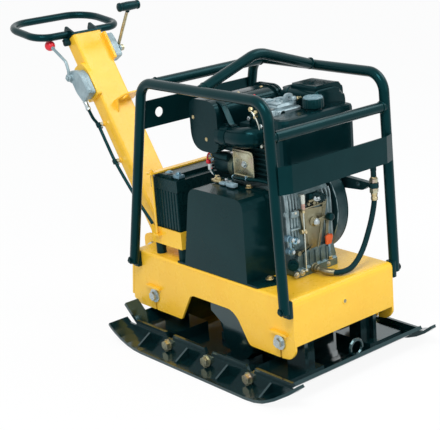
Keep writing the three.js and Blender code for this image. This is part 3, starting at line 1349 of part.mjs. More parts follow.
function leftControl() {
  const top = columnLength;
  const body = alongY(outline([[-12, top - 121, 8], [46, top - 123, 8], [46, top - 51, 8],
    [40, top - 21, 8], [-8, top - 19, 8]]), farControlFoot + seat, 100, { segments: 2, bevel: 4 });
  const boss = bar([leftPivot[0], 98, leftPivot[1]], [leftPivot[0], 104, leftPivot[1]], 12, 10);
  return onHandle(join(body, boss));
}

function leftLever() {
  const near = 104 + seat;
  const [u, w] = leftPivot;
  const hub = bar([u, near, w], [u, near + 11, w], 12, 10);
  const top = [gripPlace[0], gripPlace[1]];
  const middle = near + 5.5;
  const arm = bar([u, middle, w], [top[0], middle, top[1]], 5, 8);
  const grip = turnedY([[0, middle - gripLength / 2], [gripRadius - 5, middle - gripLength / 2],
    [gripRadius, middle - gripLength / 2 + 6], [gripRadius, middle + gripLength / 2 - 6],
    [gripRadius - 5, middle + gripLength / 2], [0, middle + gripLength / 2]], top[0], top[1], 12);
  return onHandle(join(hub, arm, grip));
}

function controlCable() {
  const top = columnLength;
  const [upper, lower] = clampPlaces;
  const route = [[-11, -108, top - 287.5], [-22, -98, top - 318], [-27, -86, upper], [-26, -86, top - 421],
    [-24, -86, lower], [-6, -86, top - 611], [10, -84, 150], [26, -82, 78], [20, -80, 30]];
  const run = hose(route, cableRadius, { sides: 6, steps: 14 });
  const clamps = clampPlaces.map((w) => bar([-25, -86, w - 10], [-25, -86, w + 10], 10, 8));
  return onHandle(join(run, ...clamps));
}

add('handle_column', handleColumn(), yellow);
add('handle_loop', handleLoop(), black);
add('pivot_pin', pivotPin(), steel);
add('right_control', rightControl(), grey);
add('right_lever', rightLever(), steel);
add('left_control', leftControl(), grey);
add('left_lever', leftLever(), steel);
add('control_cable', controlCable(), rubber);

export default compactor;
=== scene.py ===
import math
import random

import bmesh
import bpy
from mathutils import Matrix, Vector


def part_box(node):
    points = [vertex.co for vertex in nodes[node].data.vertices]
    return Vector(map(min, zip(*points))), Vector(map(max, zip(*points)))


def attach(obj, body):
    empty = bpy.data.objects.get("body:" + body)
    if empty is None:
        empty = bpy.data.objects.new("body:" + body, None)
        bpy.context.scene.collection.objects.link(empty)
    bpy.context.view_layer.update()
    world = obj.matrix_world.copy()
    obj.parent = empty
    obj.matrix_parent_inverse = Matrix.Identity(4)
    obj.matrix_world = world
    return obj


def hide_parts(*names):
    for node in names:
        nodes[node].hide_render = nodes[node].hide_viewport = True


# Looks of the reversible plate compactor, in the CAD frame: +X is the machine's front, +Y its
# left, +Z up, and the origin lies on the ground under the base plate. Camera, lamps, textures and
# CAD meshes are in metres. The pieces are drawn in millimetres, as in the CAD, and become metres
# where their points are made.
MM = 0.001

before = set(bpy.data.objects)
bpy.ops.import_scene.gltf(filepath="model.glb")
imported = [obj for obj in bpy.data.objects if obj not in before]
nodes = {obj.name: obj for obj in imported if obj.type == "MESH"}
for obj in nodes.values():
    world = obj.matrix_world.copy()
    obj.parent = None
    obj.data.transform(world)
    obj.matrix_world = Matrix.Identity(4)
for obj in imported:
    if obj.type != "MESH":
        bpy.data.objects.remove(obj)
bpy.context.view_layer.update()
X, Y, Z = Vector((1, 0, 0)), Vector((0, 1, 0)), Vector((0, 0, 1))
random.seed(7)

# Camera, at the photograph's viewing angle
EYE = Vector((2.934, -2.539, 1.645))
TARGET = Vector((-0.0894, -0.1026, 0.4560))
ROLL = math.radians(-4.54)
LENS = 100.22
SENSOR = 36
CLIP_START, CLIP_END = 0.05, 50


def make_camera():
    data = bpy.data.cameras.new("camera")
    data.lens, data.sensor_width = LENS, SENSOR
    data.clip_start, data.clip_end = CLIP_START, CLIP_END
    camera = bpy.data.objects.new("camera", data)
    bpy.context.scene.collection.objects.link(camera)
    ahead = (TARGET - EYE).normalized()
    right = ahead.cross(Z).normalized()
    up = right.cross(ahead)
    rolled_right = right * math.cos(ROLL) + up * math.sin(ROLL)
    rolled_up = up * math.cos(ROLL) - right * math.sin(ROLL)
    turn = Matrix((rolled_right, rolled_up, -ahead)).transposed()
    camera.matrix_world = Matrix.Translation(EYE) @ turn.to_4x4()
    bpy.context.scene.camera = camera


make_camera()


# Materials
def feed(tree, node, inputs):
    """Gives a node's inputs their values. Another node's socket is linked."""
    for key, value in inputs.items():
        if isinstance(value, bpy.types.NodeSocket):
            tree.links.new(value, node.inputs[key])
        else:
            node.inputs[key].default_value = value


def add_node(tree, kind, inputs=None, **settings):
    node = tree.nodes.new("ShaderNode" + kind)
    for key, value in settings.items():
        setattr(node, key, value)
    feed(tree, node, inputs or {})
    return node


def new_material(name):
    material = bpy.data.materials.new(name)
    material.use_nodes = True
    tree = material.node_tree
    return material, tree, tree.nodes["Principled BSDF"]


def srgb(colour):
    """A colour as read on a screen, from 0 to 255, in linear light and with its alpha."""
    return (*((c / 255 / 12.92) if c <= 10 else ((c / 255 + 0.055) / 1.055) ** 2.4 for c in colour), 1)


def noise(tree, scale, detail, roughness=0.5):
    """A noise of that many waves to the metre, from 0 to 1, which rides with the piece."""
    where = add_node(tree, "TexCoord").outputs["Object"]
    return add_node(tree, "TexNoise", {"Vector": where, "Scale": scale, "Detail": detail,
        "Roughness": roughness}).outputs["Fac"]


def ramp(tree, value, stops, colours):
    """Screen colours that value runs through, each at its stop."""
    node = add_node(tree, "ValToRGB", {"Fac": value})
    elements = node.color_ramp.elements
    while len(elements) < len(stops):
        elements.new(0.5)
    for element, at, colour in zip(elements, stops, colours):
        element.position, element.color = at, srgb(colour)
    return node.outputs["Color"]


def levels(tree, waves, low, high, start=0.3, end=0.7):
    """Low where a noise of those waves is at start or under it, and high from end on."""
    return add_node(tree, "MapRange", {"Value": noise(tree, *waves), "From Min": start, "From Max": end,
        "To Min": low, "To Max": high}).outputs["Result"]


def mix(tree, factor, a, b):
    """Colour a where factor is 0, and b where it is 1. Each is a socket or a screen colour."""
    node = add_node(tree, "Mix", data_type="RGBA")
    index = {socket.identifier: i for i, socket in enumerate(node.inputs)}
    for key, value in (("Factor_Float", factor), ("A_Color", a), ("B_Color", b)):
        feed(tree, node, {index[key]: srgb(value) if isinstance(value, tuple) else value})
    return next(socket for socket in node.outputs if socket.identifier == "Result_Color")


def bump(tree, *heights):
    """The normal over noises, each given by its scale, its detail and its depth in metres."""
    inputs = {"Strength": 1}
    for scale, detail, depth in heights:
        inputs.update({"Height": noise(tree, scale, detail), "Distance": depth})
        inputs["Normal"] = add_node(tree, "Bump", inputs).outputs["Normal"]
    return inputs["Normal"]


WHITE = (1, 1, 1, 1)
COAT_ROUGHNESS = 0.12
PLATED_METAL, PLATED_GRAIN = 0.9, 0.000012


def paint(name, colour, shade, dust, roughness, coat, grain=0.00004, gloss=0.5, tint=WHITE):
    """Sprayed enamel: slight clouds in the colour, orange peel, and dust where it settles."""
    material, tree, shader = new_material(name)
    clouds = levels(tree, (6, 4, 0.6), 0, 1)
    specks = levels(tree, (90, 6, 0.7), 0, 0.12, 0.58, 0.82)
    feed(tree, shader, {
        "Base Color": mix(tree, specks, mix(tree, clouds, colour, shade), dust),
        "Roughness": levels(tree, (25, 5, 0.6), roughness - 0.05, roughness + 0.07),
        "Specular IOR Level": gloss, "Specular Tint": tint, "Coat Weight": coat,
        "Coat Roughness": COAT_ROUGHNESS,
        "Normal": bump(tree, (420, 2, grain), (30, 2, grain * 3))})
    return material


def casting(name, colour, shade, roughness=0.42, metallic=0.75, grain=0.0001, tint=WHITE):
    """Sand or die cast metal: fine grain, darker in patches."""
    material, tree, shader = new_material(name)
    patches = levels(tree, (22, 6, 0.65), 0, 1, 0.35, 0.7)
    feed(tree, shader, {
        "Base Color": mix(tree, patches, colour, shade), "Metallic": metallic, "Specular Tint": tint,
        "Roughness": levels(tree, (60, 5), roughness - 0.08, roughness + 0.1),
        "Normal": bump(tree, (700, 3, grain), (120, 3, grain * 1.5))})
    return material


def plated(name, *colours, roughness=0.28, stops=(0.3, 0.6, 0.8)):
    """Zinc plating, whose passivated film drifts through a few tints."""
    material, tree, shader = new_material(name)
    feed(tree, shader, {
        "Base Color": ramp(tree, noise(tree, 28, 3, 0.55), stops, colours), "Metallic": PLATED_METAL,
        "Roughness": levels(tree, (150, 4), roughness - 0.06, roughness + 0.12),
        "Normal": bump(tree, (500, 3, PLATED_GRAIN))})
    return material


def moulded(name, colour, shade, roughness, grain=0.00006, gloss=0.5, tint=WHITE):
    """Rubber or moulded plastic with a fine leathery grain."""
    material, tree, shader = new_material(name)
    patches = levels(tree, (30, 5, 0.6), 0, 1)
    feed(tree, shader, {
        "Base Color": mix(tree, patches, colour, shade), "Specular IOR Level": gloss,
        "Specular Tint": tint,
        "Roughness": levels(tree, (80, 4), roughness - 0.06, roughness + 0.08),
        "Normal": bump(tree, (900, 2, grain))})
    return material


TEAL, PALE_TEAL = (0.12, 0.56, 0.64, 1), (0.3, 0.72, 0.8, 1)
YELLOW = paint("yellow_enamel", (251, 201, 56), (248, 192, 46), (232, 204, 130), 0.28, 0.12, gloss=0.45)
BLACK = paint("black_enamel", (6, 38, 40), (3, 31, 33), (40, 72, 76), 0.2, 0, gloss=0.3, tint=TEAL)
PLATE_BLACK = paint("skid_enamel", (8, 34, 36), (5, 27, 30), (86, 108, 108), 0.14, 0.5, 0.00006,
    gloss=0.6, tint=PALE_TEAL)
SHEET_BLACK = paint("engine_sheet_enamel", (5, 34, 37), (3, 27, 30), (36, 64, 68), 0.18, 0,
    gloss=0.32, tint=TEAL)
CAST_BLACK = casting("black_casting", (22, 46, 49), (12, 34, 37), 0.4, 0, 0.00014, TEAL)
ALUMINIUM = casting("aluminium_casting", (164, 184, 190), (124, 146, 153), 0.44, 0.4)
ALUMINIUM_MID = casting("mid_casting", (150, 168, 172), (104, 124, 126), 0.36, 0.7)
ALUMINIUM_DARK = casting("grey_casting", (118, 140, 144), (70, 92, 94))
BLUE_STEEL = casting("blue_fitting", (132, 168, 184), (78, 112, 128), 0.3, 0.6, 0.00006)
OLIVE = casting("olive_casting", (94, 108, 92), (64, 78, 66), 0.4, 0.4)
ZINC = plated("bright_zinc", (200, 208, 210), (172, 184, 186), (208, 208, 200))
PALE_STEEL = plated("pale_steel", (216, 222, 214), (196, 202, 190), (222, 220, 200))
ZINC_WARM = plated("warm_zinc", (212, 210, 192), (188, 188, 174), (208, 196, 170))
ZINC_YELLOW = plated("yellow_zinc", (204, 204, 180), (180, 176, 146), (186, 170, 156),
    (184, 196, 180), stops=(0.25, 0.5, 0.65, 0.85))
BRASS = plated("brass", (216, 204, 164), (188, 172, 130), (206, 192, 154), roughness=0.26)
BRONZE = plated("bronze_plate", (158, 156, 132), (136, 132, 106), (148, 138, 114),
    roughness=0.36, stops=(0.3, 0.5, 0.8))
COPPER = plated("pink_zinc", (178, 146, 134), (196, 160, 146), (168, 150, 130))
RUBBER = moulded("rubber", (17, 40, 43), (24, 48, 51), 0.5, gloss=0.2, tint=TEAL)
PLASTIC = moulded("black_plastic", (5, 32, 34), (8, 37, 39), 0.28, gloss=0.36, tint=TEAL)
RED = moulded("red_plastic", (226, 36, 52), (212, 26, 42), 0.3, 0.000004)
ORANGE = moulded("orange_plastic", (240, 104, 40), (228, 90, 30), 0.4, 0.00003)
PALE = moulded("pale_plastic", (214, 222, 220), (196, 206, 206), 0.4, 0.00003)
# Pale blue-grey for the top of the black plastic fuel cap: a painted highlight, the sky's reflection on
# its crown.
CAP_PAINTED_HIGHLIGHT = moulded("cap_top_painted_highlight", (124, 154, 163), (98, 129, 139), 0.24, 0.00002)
BLUE_PALE = moulded("blue_connector", (168, 194, 204), (130, 160, 172), 0.3, 0.00002)

SIDES = "right", "left"
LOOKS = {
    YELLOW: ["deck_shell", "side_plate_right", "side_plate_left", "handle_column", "battery_tray",
             "battery_hold_down"],
    BLACK: ["front_panel", "rear_guard_plate", "belt_guard"],
    PLATE_BLACK: ["base_plate", "extension_plate_right", "extension_plate_left", "lower_belt_guard"],
    SHEET_BLACK: ["air_cleaner", "muffler", "fuel_tank"],
    CAST_BLACK: ["exciter_housing", "exciter_cover", "fan_housing", "starter_motor", "cylinder"],
    ALUMINIUM: ["rocker_cover", "right_control", "left_control"],
    ALUMINIUM_DARK: ["crankcase", "clutch_pulley", "eccentric_shaft_front", "eccentric_shaft_rear"],
    BRONZE: ["speed_control_plate"],
    ZINC_YELLOW: ["engine_bracket"]
    + [f"extension_bolt_{side}_{at}" for side in SIDES for at in ("rear", "middle", "front")],
    ZINC: ["throttle_lever", "pivot_pin"]
    + [f"mount_bolt_{side}_{at}" for side in SIDES for at in ("rear", "front")],
    RUBBER: ["v_belt"] + [f"rubber_mount_{side}_{at}" for side in SIDES for at in ("rear", "front")],
    PLASTIC: ["battery", "oil_filler_cap"],
}
CAD_SMOOTH = math.radians(32)
TRAY_PAD_TOP = 0.3415


def dress(name, material):
    """Gives a CAD node its material, and smooth shading up to its sharp edges."""
    mesh = nodes[name].data
    mesh.materials.clear()
    mesh.materials.append(material)
    mesh.shade_smooth()
    mesh.set_sharp_from_angle(angle=CAD_SMOOTH)


for material, names in LOOKS.items():
    for name in names:
        dress(name, material)

# The battery tray stands on rubber pads
tray = nodes["battery_tray"].data
tray.materials.append(RUBBER)
for face in tray.polygons:
    if face.center.z < TRAY_PAD_TOP:
        face.material_index = 1


# Shapes. Most of these return a function that adds one closed solid to a bmesh
POINT = 1e-6  # a radius under this is a tip
PARALLEL = 0.01
CORNER_SHARE = 0.49  # of a side, the most that its corner's rounding takes


def across(axis):
    """Two directions square to an axis, and the axis itself at unit length."""
    ahead = Vector(axis).normalized()
    side = ahead.cross(Z)
    if side.length < PARALLEL:
        side = X.copy()
    side.normalize()
    return side, ahead.cross(side), ahead


def corner(bm, at):
    return bm.verts.new(at * MM)


def full_turn(count):
    return [math.tau * k / count for k in range(count)]


def spoke(side, up, angle):
    return side * math.cos(angle) + up * math.sin(angle)


def skin(bm, low, high):
    """Faces between two rings of points, either of which may be a single point."""
    count = max(len(low), len(high))
    for i in range(count):
        j = (i + 1) % count
        corners = [low[i % len(low)], low[j % len(low)], high[j % len(high)], high[i % len(high)]]
        bm.faces.new(list(dict.fromkeys(corners)))


def turned(base, axis, profile, sides, lobes=0, depth=0):
    """A turned solid. The profile's pairs are a distance along the axis and a radius, which dips by
    depth between lobes."""
    def add(bm):
        side, up, ahead = across(axis)
        rings = []
        for along, radius in profile:
            centre = Vector(base) + ahead * along
            if radius < POINT:
                rings.append([corner(bm, centre)])
                continue
            rings.append([])
            for angle in full_turn(sides):
                reach = radius - depth * (0.5 - 0.5 * math.cos(lobes * angle))
                rings[-1].append(corner(bm, centre + spoke(side, up, angle) * reach))
        for low, high in zip(rings, rings[1:]):
            skin(bm, low, high)
        if len(rings[0]) > 1:
            bm.faces.new(list(reversed(rings[0])))
        if len(rings[-1]) > 1:
            bm.faces.new(rings[-1])
    return add


def swept(line, radius, sides, closed=False, flat=1):
    """A bar along a line of points. Radius may be a list, and flat squeezes it one way."""
    def add(bm):
        points = [Vector(p) for p in line]
        count = len(points)
        side = across(points[1] - points[0])[0]
        rings = []
        for i, point in enumerate(points):
            before = points[i - 1] if i or closed else points[i]
            after = points[(i + 1) % count] if i < count - 1 or closed else points[i]
            ahead = (after - before).normalized()
            side = (side - ahead * side.dot(ahead)).normalized()
            up = ahead.cross(side)
            reach = radius[i] if isinstance(radius, list) else radius
            rings.append([corner(bm, point + spoke(side, up * flat, angle) * reach)
                for angle in full_turn(sides)])
        for low, high in zip(rings, rings[1:]):
            skin(bm, low, high)
        if closed:
            skin(bm, rings[-1], rings[0])
        else:
            bm.faces.new(list(reversed(rings[0])))
            bm.faces.new(rings[-1])
    return add


def soften(bm, edges, bevel, segments):
    bmesh.ops.bevel(bm, geom=list(edges), offset=bevel * MM, segments=segments, affect="EDGES",
        profile=0.5)


def block(centre, size, bevel, segments=2, turn=None):
    """A box with rounded edges."""
    def add(bm):
        place = Matrix.Scale(MM, 4) @ Matrix.Translation(centre) @ (turn or Matrix.Identity(3)).to_4x4()
        cube = bmesh.ops.create_cube(bm, size=1, matrix=place @ Matrix.Diagonal((*size, 1)))
        soften(bm, {edge for vert in cube["verts"] for edge in vert.link_edges}, bevel, segments)
    return add


def slab(outline, origin, right, upward, thickness, bevel=1, segments=2):
    """A plate cut to an outline of (right, upward) pairs, thick towards right x upward."""
    def add(bm):
        right_way, up_way = Vector(right).normalized(), Vector(upward).normalized()
        depth = right_way.cross(up_way) * thickness
        line = [Vector(origin) + right_way * u + up_way * v for u, v in outline]
        near, far = [corner(bm, at) for at in line], [corner(bm, at + depth) for at in line]
        rims = [bm.faces.new(list(reversed(near))), bm.faces.new(far)]
        skin(bm, near, far)
        if bevel:
            soften(bm, [edge for face in rims for edge in face.edges], bevel, segments)
    return add


def rounded(corners, steps=5):
    """An outline whose corners (u, v, radius) are rounded."""
    points = []
    for i, (u, v, radius) in enumerate(corners):
        here = Vector((u, v))
        before = Vector(corners[i - 1][:2]) - here
        after = Vector(corners[(i + 1) % len(corners)][:2]) - here
        room = min(radius, before.length * CORNER_SHARE, after.length * CORNER_SHARE)
        if room <= 0:
            points.append((u, v))
            continue
        entry, leave = here + before.normalized() * room, here + after.normalized() * room
        for k in range(steps + 1):
            t = k / steps
            point = entry * (1 - t) ** 2 + here * 2 * t * (1 - t) + leave * t * t
            points.append((point.x, point.y))
    return points


def curved(points, steps):
    """A smooth line through points."""
    points = [Vector(p) for p in points]
    padded = [points[0] * 2 - points[1], *points, points[-1] * 2 - points[-2]]
    line = []
    for a, b, c, d in zip(padded, padded[1:], padded[2:], padded[3:]):
        for k in range(steps):
            t = k / steps
            line.append((b * 2 + (c - a) * t + (a * 2 - b * 5 + c * 4 - d) * t * t
                + (b * 3 - a - c * 3 + d) * t * t * t) * 0.5)
    return line + [points[-1]]


def bent(corners, radius, steps=12):
    """Straight runs between corner points, joined by arcs, as a tube bender makes them."""
    points = [Vector(p) for p in corners]
    line = [points[0]]
    for before, here, after in zip(points, points[1:], points[2:]):
        incoming, outgoing = here - before, after - here
        limit = min(incoming.length, outgoing.length) * CORNER_SHARE
        incoming.normalize()
        outgoing.normalize()
        angle = incoming.angle(outgoing)
        trim = min(radius * math.tan(angle / 2), limit)
        bend = trim / math.tan(angle / 2)
        inward = (outgoing - incoming * outgoing.dot(incoming)).normalized()
        for k in range(steps + 1):
            t = angle * k / steps
            line.append(here - incoming * trim + incoming * bend * math.sin(t) + inward * bend
                * (1 - math.cos(t)))
    return line + [points[-1]]


def circle(centre, axis, radius, steps):
    side, up, _ = across(axis)
    return [Vector(centre) + spoke(side, up, angle) * radius for angle in full_turn(steps)]


def ring(centre, axis, radius, wire, steps=24, sides=8):
    return swept(circle(centre, axis, radius, steps), wire, sides, closed=True)


def tube_weld(centre, axis, radius, size):
    """A bead of weld round a tube, with its ripples."""
    line = circle(centre, axis, radius, 40)
    sizes = [size * random.uniform(0.8, 1.15) for _ in line]
    return swept(line, sizes, 7, closed=True)


def ball(centre, radius, sides):
    """A ball turned about Z."""
    steps = sides // 2
    profile = [(-radius * math.cos(math.pi * k / steps), radius * math.sin(math.pi * k / steps))
        for k in range(steps + 1)]
    return turned(centre, Z, profile, sides)


def washer(at, axis, radius, thickness=1.6):
    profile = [(0, radius), (thickness * 0.7, radius), (thickness, radius * 0.95)]
    return turned(at, axis, profile, 20)


def hexagon(at, axis, radius, height):
    """A bolt head or nut with chamfered corners."""
    profile = [(0, radius * 0.95), (height * 0.1, radius), (height * 0.82, radius),
        (height, radius * 0.84)]
    return turned(at, axis, profile, 6)


def bolt(at, axis, radius, height=None):
    """A hexagon head on its washer."""
    foot = Vector(at) + Vector(axis).normalized() * radius * 0.2
    parts = washer(at, axis, radius * 1.5, radius * 0.22), hexagon(foot, axis, radius,
        height or radius * 0.8)

    def add(bm):
        for part in parts:
            part(bm)
    return add


def piece(name, material, *shapes, body="machine", angle=36):
    """One object made of shapes, which rides on a body and wears the given material."""
    mesh = bpy.data.meshes.new(name)
    bm = bmesh.new()
    for shape in shapes:
        shape(bm)
    bmesh.ops.recalc_face_normals(bm, faces=bm.faces)
    bm.to_mesh(mesh)
    bm.free()
    obj = bpy.data.objects.new(name, mesh)
    bpy.context.scene.collection.objects.link(obj)
    mesh.materials.append(material)
    mesh.shade_smooth()
    mesh.set_sharp_from_angle(angle=math.radians(angle))
    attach(obj, body)
    return obj


# Handle frame: u points forward out of the column's front face, w runs up the column
HINGE = Vector((-485, 0, 262))
LEAN = math.radians(32.9)
HANDLE_U = Vector((math.cos(LEAN), 0, math.sin(LEAN)))
HANDLE_W = Vector((-math.sin(LEAN), 0, math.cos(LEAN)))
COLUMN_LENGTH = 851


def on_handle(u, y, w):
    return HINGE + HANDLE_U * u + Y * y + HANDLE_W * w


def hose(name, line, radius, material, body):
    """A cord as a curve of one open spline."""
    curve = bpy.data.curves.new(name, "CURVE")
    curve.dimensions = "3D"
    curve.bevel_depth = radius * MM
    curve.bevel_resolution = 5
    curve.use_fill_caps = True
    spline = curve.splines.new("POLY")
    spline.points.add(len(line) - 1)
    for point, where in zip(spline.points, line):
        point.co = (*(where * MM), 1)
    spline.use_smooth = True
    curve.materials.append(material)
    obj = bpy.data.objects.new(name, curve)
    bpy.context.scene.collection.objects.link(obj)
    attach(obj, body)
    return obj


# Drain hose: from the crankcase's outlet round the front of the engine and up to its holder
HOSE_RADIUS = 9
HOSE_TOP = 328, 198
HOSE_WAY = [(263, -4, 318), (282, -2, 316), (305, 4, 313), (332, 28, 312), (337, 76, 318),
    (332, 129, 357), (330, 171, 430), (329, 193, 490), (328, 198, 524)]
FITTING_LOW, FITTING_HIGH = 520, 583
EYE_LOW, EYE_HIGH = 549, 565


def make_drain_hose():
    line = curved(HOSE_WAY, 4)
    cord = hose("oil_drain_hose", line, HOSE_RADIUS, RUBBER, "machine")
    x, y = HOSE_TOP
    tall = FITTING_HIGH - FITTING_LOW
    stem = [(-12, 10.8), (-4, 11.6), (-2, 10.2), (4, 10.2), (6, 11.2), (14, 11.2), (14.5, 11),
        (tall, 11), (tall + 2, 9)]
    fitting = piece("hose_fitting", BRASS, turned((x, y, FITTING_LOW), Z, stem, 20))
    nuts = piece("hose_fitting_nuts", ZINC_YELLOW, hexagon((x, y, EYE_LOW - 16.3), Z, 14.8, 16),
        hexagon((x, y, EYE_HIGH + 0.3), Z, 14.8, 15.5))
    tail = piece("hose_fitting_tail", RUBBER,
        turned((x, y, FITTING_HIGH), Z, [(0, 9.2), (20, 8.8), (22, 9.8), (32, 9.8), (34.5, 8)], 16))
    sleeve = [11.2, 11.8, 11.8] + [10.4] * 3 + [11.2] * 5 + [10.8, 11.2, 10.8, 11.2, 10]
    start = curved(HOSE_WAY[:4], 6)[:len(sleeve)]
    ferrule = piece("hose_lower_ferrule", BRONZE, swept(start, sleeve, 16))
    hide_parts("drain_hose")


# Control cable: from the right control down the column on two stubs, and in beside its foot
CABLE_RADIUS = 6
CLAMPS = (COLUMN_LENGTH - 347, COLUMN_LENGTH - 499)
STUB_U = -24


def make_control_cable():
    top = COLUMN_LENGTH
    way = [(-11, -108, top - 287.5), (-22, -98, top - 318), (-27, -86, CLAMPS[0]),
        (-26, -86, top - 421), (-24, -86, CLAMPS[1]), (-6, -86, top - 611), (10, -84, 150),
        (26, -82, 78), (20, -80, 30)]
    line = curved([on_handle(*point) for point in way], 5)
    cord = hose("shift_cable", line, CABLE_RADIUS, PLASTIC, "handle")
    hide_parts("control_cable")
    for i, clamp in enumerate(CLAMPS):
        band = [(-8, 8.2), (-7, 9.2), (7, 9.2), (8, 8.2)]
        piece(f"cable_clip_{i}", RUBBER, turned(on_handle(-25.5, -86, clamp), HANDLE_W, band, 20),
            block(on_handle(-24, -81.5, clamp), (13, 12, 11), 2), body="handle")
        piece(f"cable_clip_bolt_{i}", ZINC, bolt(on_handle(STUB_U, -76.5, clamp - 9), -Y, 5.2),
            turned(on_handle(STUB_U, -76.5, clamp), HANDLE_U, [(-9, 6.8), (9, 6.8)], 16), body="handle")
        collar = [(0, 8.2), (10, 7.8), (13.5, 11)]
        piece(f"cable_stub_collar_{i}", YELLOW, turned(on_handle(STUB_U, -76, clamp), Y, collar, 18),
            body="handle")
    nose = [(0, 9.5), (4, 9.5), (5, 8.2), (24, 7.8), (26, 9.2), (36, 9.2), (38, 7)]
    down = on_handle(-11, -108, 0) - on_handle(-10, -108, 70)
    piece("cable_nose", ZINC, turned(on_handle(-10, -108, top - 250), down, nose, 18), body="handle")


make_drain_hose()
make_control_cable()


# Cage: bent tube with welded joints, feet and bolts
TUBE, TUBE_END = 17, 14.62
BEAD, BEAD_SIZE = TUBE + 0.6, 2.4
RAIL_Y, RAIL_Z = 245, 911
RAIL_REAR, RAIL_FRONT = -264, 341
LEG_REAR, LEG_FRONT, LEG_FOOT, FOOT_Z = -407, 360, 262, 272
LEG_BEND, LIFT_BEND = 62, 110
LIFT_X, LIFT_Z = 36, 993
REAR_BAR, FRONT_BAR = Vector((-212, 0, RAIL_Z)), Vector((344, 0, 806))


def capped(line):
    """A tube whose ends are rounded over a little."""
    start, end = (line[1] - line[0]).normalized(), (line[-1] - line[-2]).normalized()
    sizes = [TUBE_END, *[TUBE] * len(line), TUBE_END]
    return swept([line[0] - start * 2, *line, line[-1] + end * 2], sizes, 28)


def make_hoop(label, side):
    y = side * RAIL_Y
    line = bent([(LEG_REAR, y, LEG_FOOT), (RAIL_REAR, y, RAIL_Z), (RAIL_FRONT, y, RAIL_Z),
        (LEG_FRONT, y, LEG_FOOT)], LEG_BEND)
    shapes = [capped(line)]
    for place in (LEG_REAR, LEG_FRONT):
        shapes += [block((place - 1, side * 230.9, FOOT_Z), (32, 16.8, 56), 3),
            bolt((place, side * (RAIL_Y + 15.5), FOOT_Z), (0, side, 0), 9, 6)]
    hoop = piece(f"cage_hoop_{label}_tube", BLACK, *shapes)
    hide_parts(f"cage_hoop_{label}")


def make_crossbars():
    ends = RAIL_Y - 4
    lift = bent([(LIFT_X, -ends, RAIL_Z + 4), (LIFT_X, 0, LIFT_Z), (LIFT_X, ends, RAIL_Z + 1)],
        LIFT_BEND, 16)
    bar = piece("lifting_bar_tube", BLACK, capped(lift))
    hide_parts("lifting_bar")
    welds = []
    for side in (-1, 1):
        foot = Vector((LIFT_X, side * (RAIL_Y - TUBE - 3), RAIL_Z + 8))
        welds.append(tube_weld(foot, (0, 1, -side * 0.33), BEAD, BEAD_SIZE))
    for label, centre in (("rear", REAR_BAR), ("front", FRONT_BAR)):
        bar = piece(f"{label}_crossbar_tube", BLACK, capped([centre - Y * ends, centre + Y * ends]))
        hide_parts(f"{label}_crossbar")
        for side in (-1, 1):
            welds.append(tube_weld(centre + Y * side * (RAIL_Y - TUBE - 2), Y, BEAD, BEAD_SIZE))
    piece("cage_welds", BLACK, *welds)


make_hoop("right", -1)
make_hoop("left", 1)
make_crossbars()


# Handle's loop, its gussets and its buffer
LOOP_TUBE = 14
LOOP_TILT = math.radians(8)
LOOP_HALF_WIDTH, LOOP_NEAR, LOOP_FAR, LOOP_BEND = 186, 12, 254, 100


def make_loop():
    start = on_handle(0, 0, COLUMN_LENGTH + LOOP_TUBE)
    back = Vector((-math.cos(LOOP_TILT), 0, math.sin(LOOP_TILT)))
    corners = [(LOOP_NEAR, -56), (LOOP_NEAR, -LOOP_HALF_WIDTH), (LOOP_FAR, -LOOP_HALF_WIDTH),
        (LOOP_FAR, LOOP_HALF_WIDTH), (LOOP_NEAR, LOOP_HALF_WIDTH), (LOOP_NEAR, 56)]
    line = bent([start + back * far + Y * y for far, y in corners], LOOP_BEND, 14)
    under = COLUMN_LENGTH + 0.3
    foot = rounded([(-38, -66, 4), (34, -66, 4), (34, 66, 4), (-38, 66, 4)])
    shapes = [swept(line, LOOP_TUBE, 24), slab(foot, on_handle(0, 0, under), HANDLE_U, Y, 8, 0.8)]
    gusset = rounded([(33, 4, 0), (25, 12, 3), (-4, 54, 6), (-26, 40, 4), (-37, 4, 0)])
    for y in (-49, 57):
        foot = start + back * LOOP_NEAR + Y * (y + math.copysign(1, y))
        shapes += [slab(gusset, on_handle(0, y, under), HANDLE_U, HANDLE_W, 8, 0.8),
            tube_weld(foot, Y, LOOP_TUBE, 2.2)]
    turn = Matrix.Rotation(-LEAN, 3, "Y")
    shapes.append(block(on_handle(-8, -75.5, under - 0.5), (16, 25, 9), 1, turn=turn))
    loop = piece("handle_loop_tube", BLACK, *shapes, body="handle")
    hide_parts("handle_loop")
    buffer = [(0, 9.8), (1.5, 11), (20.5, 11), (22, 9.8)]
    piece("handle_buffer", RUBBER, turned(on_handle(-8, -66, under - 13), -Y, buffer, 24),
        body="handle")


make_loop()


# Hand levers on the column
RIGHT_PIVOT, RIGHT_Y = (-18, COLUMN_LENGTH - 145), -127.3
LEFT_PIVOT, LEFT_Y = (40, COLUMN_LENGTH - 91), 109.8
LEFT_TOP = 186, COLUMN_LENGTH + 4.8


def make_right_lever():
    u, w = RIGHT_PIVOT
    way = [(u, w), (u + 19, w + 18), (u + 28, w + 53), (u - 16, w + 136)]
    line = bent([on_handle(a, RIGHT_Y, b) for a, b in way], 22, 8)
    hub = [(0, 13.2), (1, 14), (8, 14), (9, 13)]
    arm = piece("right_lever_rod", ALUMINIUM, turned(on_handle(u, -122.3, w), -Y, hub, 28),
        swept(line, 6.2, 16, flat=0.75), hexagon(on_handle(u, -131.3, w), -Y, 8.5, 5.5),
        turned(on_handle(u - 13, RIGHT_Y, w + 130), line[-1] - line[-2], [(0, 7.4), (9, 7.4)], 14),
        body="throttle_hand_lever")
    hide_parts("right_lever")
    piece("right_lever_knob", RED, ball(on_handle(u - 25.5, RIGHT_Y, w + 150), 19.5, 32),
        body="throttle_hand_lever")


